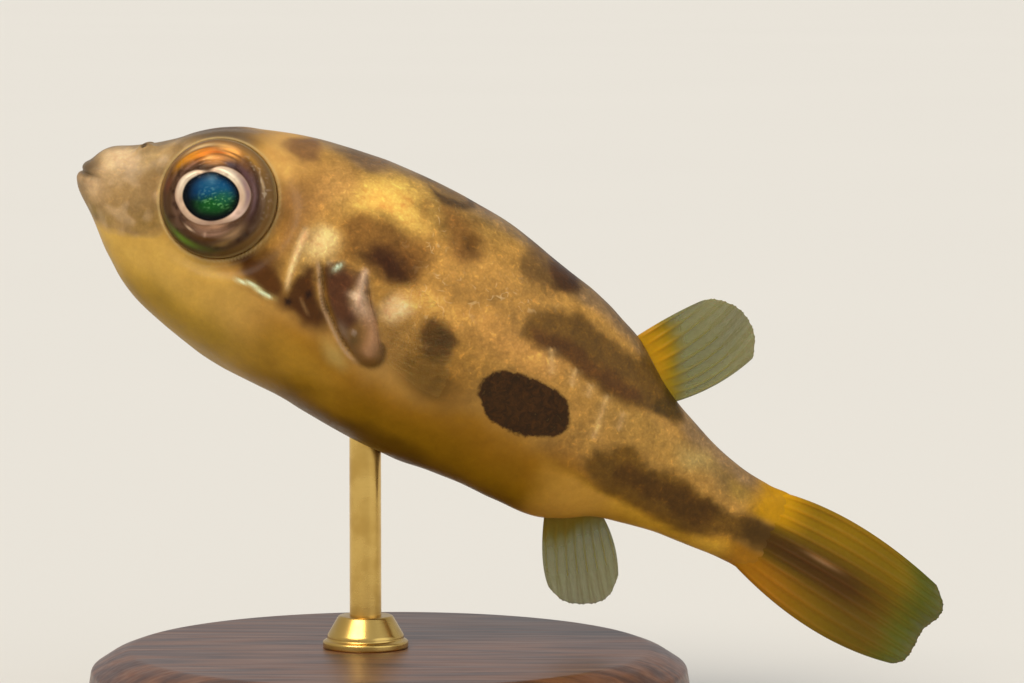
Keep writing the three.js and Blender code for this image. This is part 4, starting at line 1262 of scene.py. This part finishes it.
DORSAL = [
    flat_line([(17.82, 3.6), (18.55, 3.15), (19.25, 2.7), (19.92, 2.38)]),
    flat_line([(18.5, 4.72), (18.95, 4.6), (19.6, 4.4), (20.15, 4.1), (20.6, 3.75), (20.86, 3.5)]),
    flat_line([(19.16, 5.62), (19.55, 5.9), (20.18, 6.0), (20.75, 5.83), (21.2, 5.46), (21.5, 4.78)]),
]
ANAL = [
    flat_line([(17.95, -2.65), (18.6, -2.35), (19.2, -2.0), (19.62, -1.85)]),
    flat_line([(18.55, -3.9), (19.1, -3.65), (19.6, -3.3), (20.05, -2.9), (20.4, -2.5)]),
    flat_line([(19.2, -4.68), (19.75, -4.84), (20.3, -4.74), (20.8, -4.42), (21.03, -3.95), (21.0, -3.35)]),
]
CAUDAL = [
    flat_line([(23.92, 1.3), (24.05, 0.7), (24.1, 0.0), (24.05, -0.7), (24.0, -1.3)]),
    flat_line([(26.9, 1.6), (27.2, 0.75), (27.3, -0.1), (27.3, -1.0), (27.3, -2.06)]),
    flat_line([
        (30.45, 1.0), (30.92, 0.55), (30.98, 0.1), (30.8, -0.45), (30.78, -1.05), (30.66, -1.6),
        (30.35, -1.9)
    ]),
]


def pectoral_lines(side):
    """The fan stands out from its lobe and trails back along the flank."""
    root = [(9.6, 1.36), (10.02, 0.74), (10.48, 0.14), (10.86, -0.36)]
    middle = [(10.2, 1.9), (11.0, 1.35), (11.6, 0.65), (12.0, -0.02), (12.02, -0.62)]
    edge = [(10.75, 2.26), (11.76, 1.9), (12.6, 1.2), (12.95, 0.3), (12.98, -0.6)]
    lines = []
    for points, out in ((root, -0.06), (middle, 0.42), (edge, 0.85)):
        lines.append([(x, side * (float(flank(np.array(x), np.array(z))) + out), z) for x, z in points])
    return lines


print("dorsal fin reaches", max(z for _, _, z in DORSAL[2]), "mm over the fish's middle line")

# %% colours of the fins
def fin_tones(kind, ray, outward, across):
    """Colour and cover at each point: full cover at the root, then pigment by the kind of fin and its rays."""
    p = np.stack([outward, across, 0 * ray], axis=-1)
    cloud = noise(p * [3, 6, 1], 1.0, 5.0)
    tone = np.broadcast_to(linear("#6c6a10"), (len(ray), 3)).copy()
    cover = 0.72 + 0.07 * ray - 0.1 * outward
    if kind == "caudal":
        lobe_share = smooth_step((0.9 - outward + 0.1 * cloud) / 0.5)
        stripe = hill(across - 0.54 - 0.04 * outward, 0.15 + 0.12 * outward)
        stripe = stripe * ramp(outward, 1.0, -0.5)
        tone = lay_all(tone, [
            ("#786004", smooth_step((1.0 - outward + 0.08 * cloud) / 0.25)),
            ("#8e6c04", lobe_share * hill(across - 0.12, 0.3)),
            ("#d49a06", ramp(across, 0.42, -0.12) * ramp(outward, 0.32, -0.28)),
            ("#805f04", lobe_share * hill(across - 0.9, 0.25)),
            ("#b07008", 0.7 * ramp(across, 0.66, 0.14) * ramp(outward, 0.5, -0.4)),
            ("#64500a", ramp(outward, 0.4, 0.4) * hill(across - 0.85, 0.3)),
            ("#4e3206", 1.1 * stripe),
            # A thin painted highlight along one ray.
            ("#b88c60", 0.6 * hill(across - 0.47, 0.022) * hill(outward - 0.4, 0.09)),
            ("#555814", smooth_step((outward - 0.75 + 0.06 * cloud) / 0.2)),
        ])
        cover = cover + 0.15 + 0.5 * ramp(outward, 1.05, -0.4) + 0.3 * stripe
    elif kind == "pectoral":
        cover = 0.06 + 0.1 * ray * smooth_step(0.5 + 1.2 * cloud)  # the rays show only here and there
        tone = lay(tone, "#a07c44", 0.9)
        tone = lay(tone, "#7a5430", ramp(outward, 0.14, -0.1))
    else:
        lean = 0.42 if kind == "dorsal" else 0.2  # how much sooner the gold ends at the rear rays
        reach = outward + 0.12 * (kind == "anal") + lean * across - 0.12 + 0.08 * cloud
        gold = ramp(reach, 0.5, -0.42)
        tone = lay(tone, "#b48408" if kind == "dorsal" else "#7c6618", gold)
        cover = cover + (0.5 if kind == "dorsal" else 0.3) * gold
    cover = np.maximum(cover, ramp(outward, 0.07, -0.07))
    return tone, np.clip(cover, 0, 0.97)


half_way = {kind: fin_tones(kind, *np.array([[0.0], [0.5], [0.5]]))[1][0] for kind in ("dorsal", "pectoral")}
print("cover of the web half way out:", {kind: round(float(cover), 2) for kind, cover in half_way.items()})


# %% the fins' material
def fin_web():
    """Wet fin web over bony rays: the rays are a little paler, and the cover lets some light through."""
    made, add, shader = new_material(
        "soft_rayed_fin_web", IOR=1.36, Specular_IOR_Level=0.2, Roughness=0.36, Subsurface_Weight=0.1,
        Subsurface_Scale=0.2 * MM)
    place = add("TexCoord", out="Object")
    fine = add("TexNoise", {"Vector": place, "Scale": per_mm(0.12), "Detail": 3.0})
    ray = add("Attribute", out="Fac", attribute_name="ray")
    tone = add("Attribute", out="Color", attribute_name="tone")
    bony = add("Math", {0: ray, 1: 0.35}, **TIMES)
    tone = add("Mix", {0: bony, 6: tone, 7: colour("#d9b86a")}, blend_type="SOFT_LIGHT", **COLOURS)
    share = add("MapRange", {0: fine, 1: 0.4, 2: 0.7, 4: 0.15}, **SMOOTH)
    tone = add("Mix", {0: share, 6: tone, 7: colour("#a08a58")}, blend_type="MULTIPLY", **COLOURS)
    uneven = add("MapRange", {0: fine, 1: 0.3, 2: 0.7, 3: 0.97, 4: 1.03})
    cover = add("Attribute", out="Fac", attribute_name="cover")
    cover = add("Math", {0: cover, 1: uneven}, use_clamp=True, **TIMES)
    bump = add("Bump", {"Height": fine, "Strength": 0.05, "Distance": 0.01 * MM})
    plug(shader, Base_Color=tone, Alpha=cover, Normal=bump)
    return made


fin_material = fin_web()
print("fin material:", fin_material.name)


# %% build the fins
def make_fin(name, kind, lines, count, node_name, **settings):
    """A fin's shell with its fields, colours and finish, in place of its solid."""
    points, quads, fields = fin_shell(lines, count, **settings)
    piece = make_mesh(name, on_stand(points), quads)
    tone, cover = fin_tones(kind, **fields)
    set_colours(piece, "tone", tone)
    set_field(piece, "ray", fields["ray"])
    set_field(piece, "cover", cover)
    piece.data.materials.append(fin_material)
    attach(piece, "root")
    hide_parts(node_name)


make_fin("fin_dorsal", "dorsal", DORSAL, 9, "dorsal_fin")
make_fin("fin_anal", "anal", ANAL, 8, "anal_fin")
make_fin("fin_caudal", "caudal", CAUDAL, 10, "caudal_fin", base=0.78, web=0.05)
make_fin("fin_pectoral_left", "pectoral", pectoral_lines(-1), 12, "pectoral_fin_left")
make_fin("fin_pectoral_right", "pectoral", pectoral_lines(1), 12, "pectoral_fin_right")

# %% [markdown]
# ## The stand
# A small model like this stands on a brass rod in a turned wooden foot. All three parts are lathe work: a
# profile of radius and height is carried round an axis. The profile is sampled finely with every edge
# eased, because a turned edge is never sharp. The wood is oiled walnut: long grain runs across the foot
# and shows as arches on its rim. The brass keeps the fine rings of the lathe tool and the polishing cloth.

# %% lathe work
def turned_profile(corners, ease=0.12, step=0.06):
    """Rounds each corner with a parabola that starts and ends one ease from it, and samples it evenly."""
    corners = np.array(corners, float)
    path = [corners[:1]]
    t = np.linspace(0, 1, 9)[:, None]
    for before, at, after in zip(corners[:-2], corners[1:-1], corners[2:]):
        reach = min(ease, 0.45 * np.linalg.norm(before - at), 0.45 * np.linalg.norm(after - at))
        start, end = at + reach * unit(before - at), at + reach * unit(after - at)
        path.append(start * (1 - t) ** 2 + at * 2 * t * (1 - t) + end * t**2)
    path = np.concatenate([*path, corners[-1:]])
    run = np.concatenate([[0], np.cumsum(np.linalg.norm(np.diff(path, axis=0), axis=1))])
    even = np.linspace(0, run[-1], int(run[-1] / step))
    return np.column_stack([np.interp(even, run, path[:, k]) for k in (0, 1)])


def lathe(name, corners, around, axis=(0.0, 0.0), **settings):
    """Turns a profile that starts and ends on the axis: the two end points become poles."""
    radius, height = turned_profile(corners, **settings).T
    turn = np.arange(around) / around * 2 * np.pi
    out, up = radius[1:-1, None], height[1:-1, None]
    ring = np.stack([out * np.cos(turn), out * np.sin(turn), up + 0 * turn], axis=-1) + [*axis, 0]
    points, quads, fans = with_poles(ring, np.array([*axis, height[0]]), np.array([*axis, height[-1]]))
    return make_mesh(name, points, quads, fans)


low, high = (np.array(corner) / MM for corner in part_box("stand_rod"))
rod_at, rod_top = ((low + high) / 2)[:2], high[2]
rod_radius = (high[0] - low[0]) / 2
_, base_high = (np.array(corner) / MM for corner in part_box("stand_base"))
foot, rim = base_high[2], base_high[0]
FOOT_PROFILE = [
    (0, 0.25), (7.6, 0.25), (7.9, 0),  # the hollow below
    (rim - 0.35, 0), (rim, 0.3), (rim, 0.95),  # the lower bead
    (rim - 0.22, 1.1), (rim - 0.22, 1.22),  # the groove
    (rim, 1.38), (rim - 0.1, 2.0), (rim - 0.75, 2.42), (rim - 1.25, foot), (0, foot),
]
foot_piece = lathe("stand_foot", FOOT_PROFILE, 160)
collar_low, collar_high = (np.array(corner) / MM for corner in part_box("stand_collar"))
collar_radius = (collar_high[0] - collar_low[0]) / 2
COLLAR_PROFILE = [
    (0, foot), (collar_radius, foot), (collar_radius, foot + 0.22), (collar_radius - 0.14, foot + 0.28),
    (collar_radius - 0.14, foot + 0.4), (collar_radius - 0.5, collar_high[2]), (0, collar_high[2]),
]
collar_piece = lathe("stand_ferrule", COLLAR_PROFILE, 96, rod_at, ease=0.06, step=0.02)
rod_foot = foot - 0.5  # the rod is let into the wood
ROD_PROFILE = [(0, rod_foot), (rod_radius, rod_foot), (rod_radius, rod_top), (0, rod_top)]
rod_piece = lathe("stand_post", ROD_PROFILE, 64, rod_at, step=0.08)
print("rod stands at", rod_at.round(2), "and ends at", round(float(rod_top), 2), "mm")


# %% walnut and brass
def oiled_walnut():
    """Walnut under rubbed oil: brown heartwood, darker growth lines, and open pores along the grain.

    Each pattern is drawn out along x, turned a little, by a Mapping whose first scale is small."""
    made, add, shader = new_material("oiled_walnut", IOR=1.5, Coat_Weight=0.25, Coat_Roughness=0.3)
    place = add("TexCoord", out="Object")
    along, fine_along, pore_along = (
        add("Mapping", {"Vector": place, "Scale": (squeeze, 1.0, 1.0), "Rotation": (0.0, 0.0, 0.15)})
        for squeeze in (0.12, 0.05, 0.1)
    )
    wander = add("TexNoise", {"Vector": along, "Scale": per_mm(2.6), "Detail": 3.0})
    rings = add("Math", {0: add("Math", {0: wander, 1: 16.0}, **TIMES), 1: 1.0}, operation="PINGPONG")
    fibre = add("TexNoise", {"Vector": fine_along, "Scale": per_mm(0.14), "Detail": 4.0})
    pores = add("TexVoronoi", {"Vector": pore_along, "Scale": per_mm(0.32)})
    pore = add("MapRange", {0: pores, 1: 0.16, 2: 0.08}, **SMOOTH)
    tone = add("Mix", {0: rings, 6: colour("#7a5436"), 7: colour("#4c3020")}, **COLOURS)
    tone = add("Mix", {0: fibre, 6: tone, 7: colour("#8f6a48")}, blend_type="SOFT_LIGHT", **COLOURS)
    tone = add("Mix", {0: add("Math", {0: pore, 1: 0.6}, **TIMES), 6: tone, 7: colour("#26160d")}, **COLOURS)
    height = add("Math", {0: fibre, 1: pore}, **MINUS)
    plug(shader, Base_Color=tone, Roughness=add("MapRange", {0: fibre, 1: 0.3, 2: 0.7, 3: 0.36, 4: 0.5}),
         Normal=add("Bump", {"Height": height, "Strength": 0.25, "Distance": 0.02 * MM}))
    return made


def turned_brass():
    """Brass off the lathe, lightly polished: rings about 0.05 mm wide and a faint cloud of tarnish."""
    made, add, shader = new_material("turned_brass", Metallic=1.0)
    place = add("TexCoord", out="Object")
    flattened = add("Mapping", {"Vector": place, "Scale": (0.02, 0.02, 1.0)})
    rings = add("TexNoise", {"Vector": flattened, "Scale": per_mm(0.05)})
    cloud = add("TexNoise", {"Vector": place, "Scale": per_mm(1.1), "Detail": 3.0})
    tarnish = add("MapRange", {0: cloud, 1: 0.4, 2: 0.7}, **SMOOTH)
    tone = add("Mix", {0: tarnish, 6: colour("#d8b466"), 7: colour("#c9a356")}, **COLOURS)
    plug(shader, Base_Color=tone, Roughness=add("MapRange", {0: cloud, 1: 0.3, 2: 0.7, 3: 0.2, 4: 0.34}),
         Normal=add("Bump", {"Height": rings, "Strength": 0.15, "Distance": 0.01 * MM}))
    return made


walnut, brass = oiled_walnut(), turned_brass()
for piece, material, slot, node_name in (
    (foot_piece, walnut, "stand_wood", "stand_base"),
    (collar_piece, brass, "stand_brass", "stand_collar"),
    (rod_piece, brass, "stand_brass", "stand_rod"),
):
    piece.data.materials.append(material)
    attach(piece, "root")
    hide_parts(node_name)
    print(piece.name, "is made of", material.name)

# %% [markdown]
# ## Floor, light and camera
# The floor is a plain pale sheet, so wide that it fills the view. A soft key light stands high ahead of the
# fish and on its left, a weaker fill stands lower behind its tail, on the same side, and the pale world
# lifts the shadows. The camera looks at the fish's left side from a little above, through a long lens.

# %% floor and lights
FLOOR_HALF, FLOOR_DROP = 2500, 0.02  # the drop keeps the floor's face off the foot's
corners = FLOOR_HALF * np.array([(-1, -1, 0), (1, -1, 0), (1, 1, 0), (-1, 1, 0)])
floor = make_mesh("floor", corners - [0, 0, FLOOR_DROP], np.array([[0, 1, 2, 3]]), smooth=False)
floor_paint, add, shader = new_material("matt_pale_paper", Roughness=0.9)
mottle = add("TexNoise", {"Vector": add("TexCoord", out="Object"), "Scale": per_mm(60.0), "Detail": 1.0})
plug(shader, Base_Color=add("Mix", {0: mottle, 6: colour("#dfddd8"), 7: colour("#e1dfda")}, **COLOURS))
floor.data.materials.append(floor_paint)


def aim(thing, place, target):
    """Puts a light or camera at a place, in millimetres, with its back to the line from the target."""
    place, target = Vector(place) * MM, Vector(target) * MM
    thing.location = place
    thing.rotation_euler = (place - target).to_track_quat("Z", "Y").to_euler()


for name, place, watts, spread_angle, tint in (
    ("key", (-75, -100, 150), 2.3, 38, "#fff4e2"),
    ("fill", (160, -120, 60), 0.45, 50, "#eaf2ff"),
):
    lamp = bpy.data.lights.new(name, "SUN")
    lamp.energy = watts
    lamp.angle = np.radians(spread_angle)
    lamp.color = [float(v) for v in linear(tint)]
    holder = bpy.data.objects.new(name, lamp)
    bpy.context.scene.collection.objects.link(holder)
    aim(holder, place, (0, 0, 0))
    print(name, "light", watts, "watts a square metre")

world = bpy.data.worlds.new("pale_room")
world.use_nodes = True
world.node_tree.nodes["Background"].inputs["Color"].default_value = colour("#eef0f2")
world.node_tree.nodes["Background"].inputs["Strength"].default_value = 0.6
bpy.context.scene.world = world
bpy.context.scene.view_settings.view_transform = "Standard"

# %% the camera
VIEW_TARGET = (3.87, 0.0, 12.3)
VIEW_DISTANCE, VIEW_UP, VIEW_WIDTH = 170, np.radians(5), 32.2
lens = bpy.data.cameras.new("long_lens")
lens.sensor_width = 36
lens.lens = lens.sensor_width * VIEW_DISTANCE / VIEW_WIDTH
lens.clip_start, lens.clip_end = 0.01, 20
camera = bpy.data.objects.new("camera", lens)
bpy.context.scene.collection.objects.link(camera)
back_off, rise = VIEW_DISTANCE * np.cos(VIEW_UP), VIEW_DISTANCE * np.sin(VIEW_UP)
aim(camera, (VIEW_TARGET[0], -back_off, VIEW_TARGET[2] + rise), VIEW_TARGET)
bpy.context.scene.camera = camera
print("lens", round(lens.lens, 1), "mm")
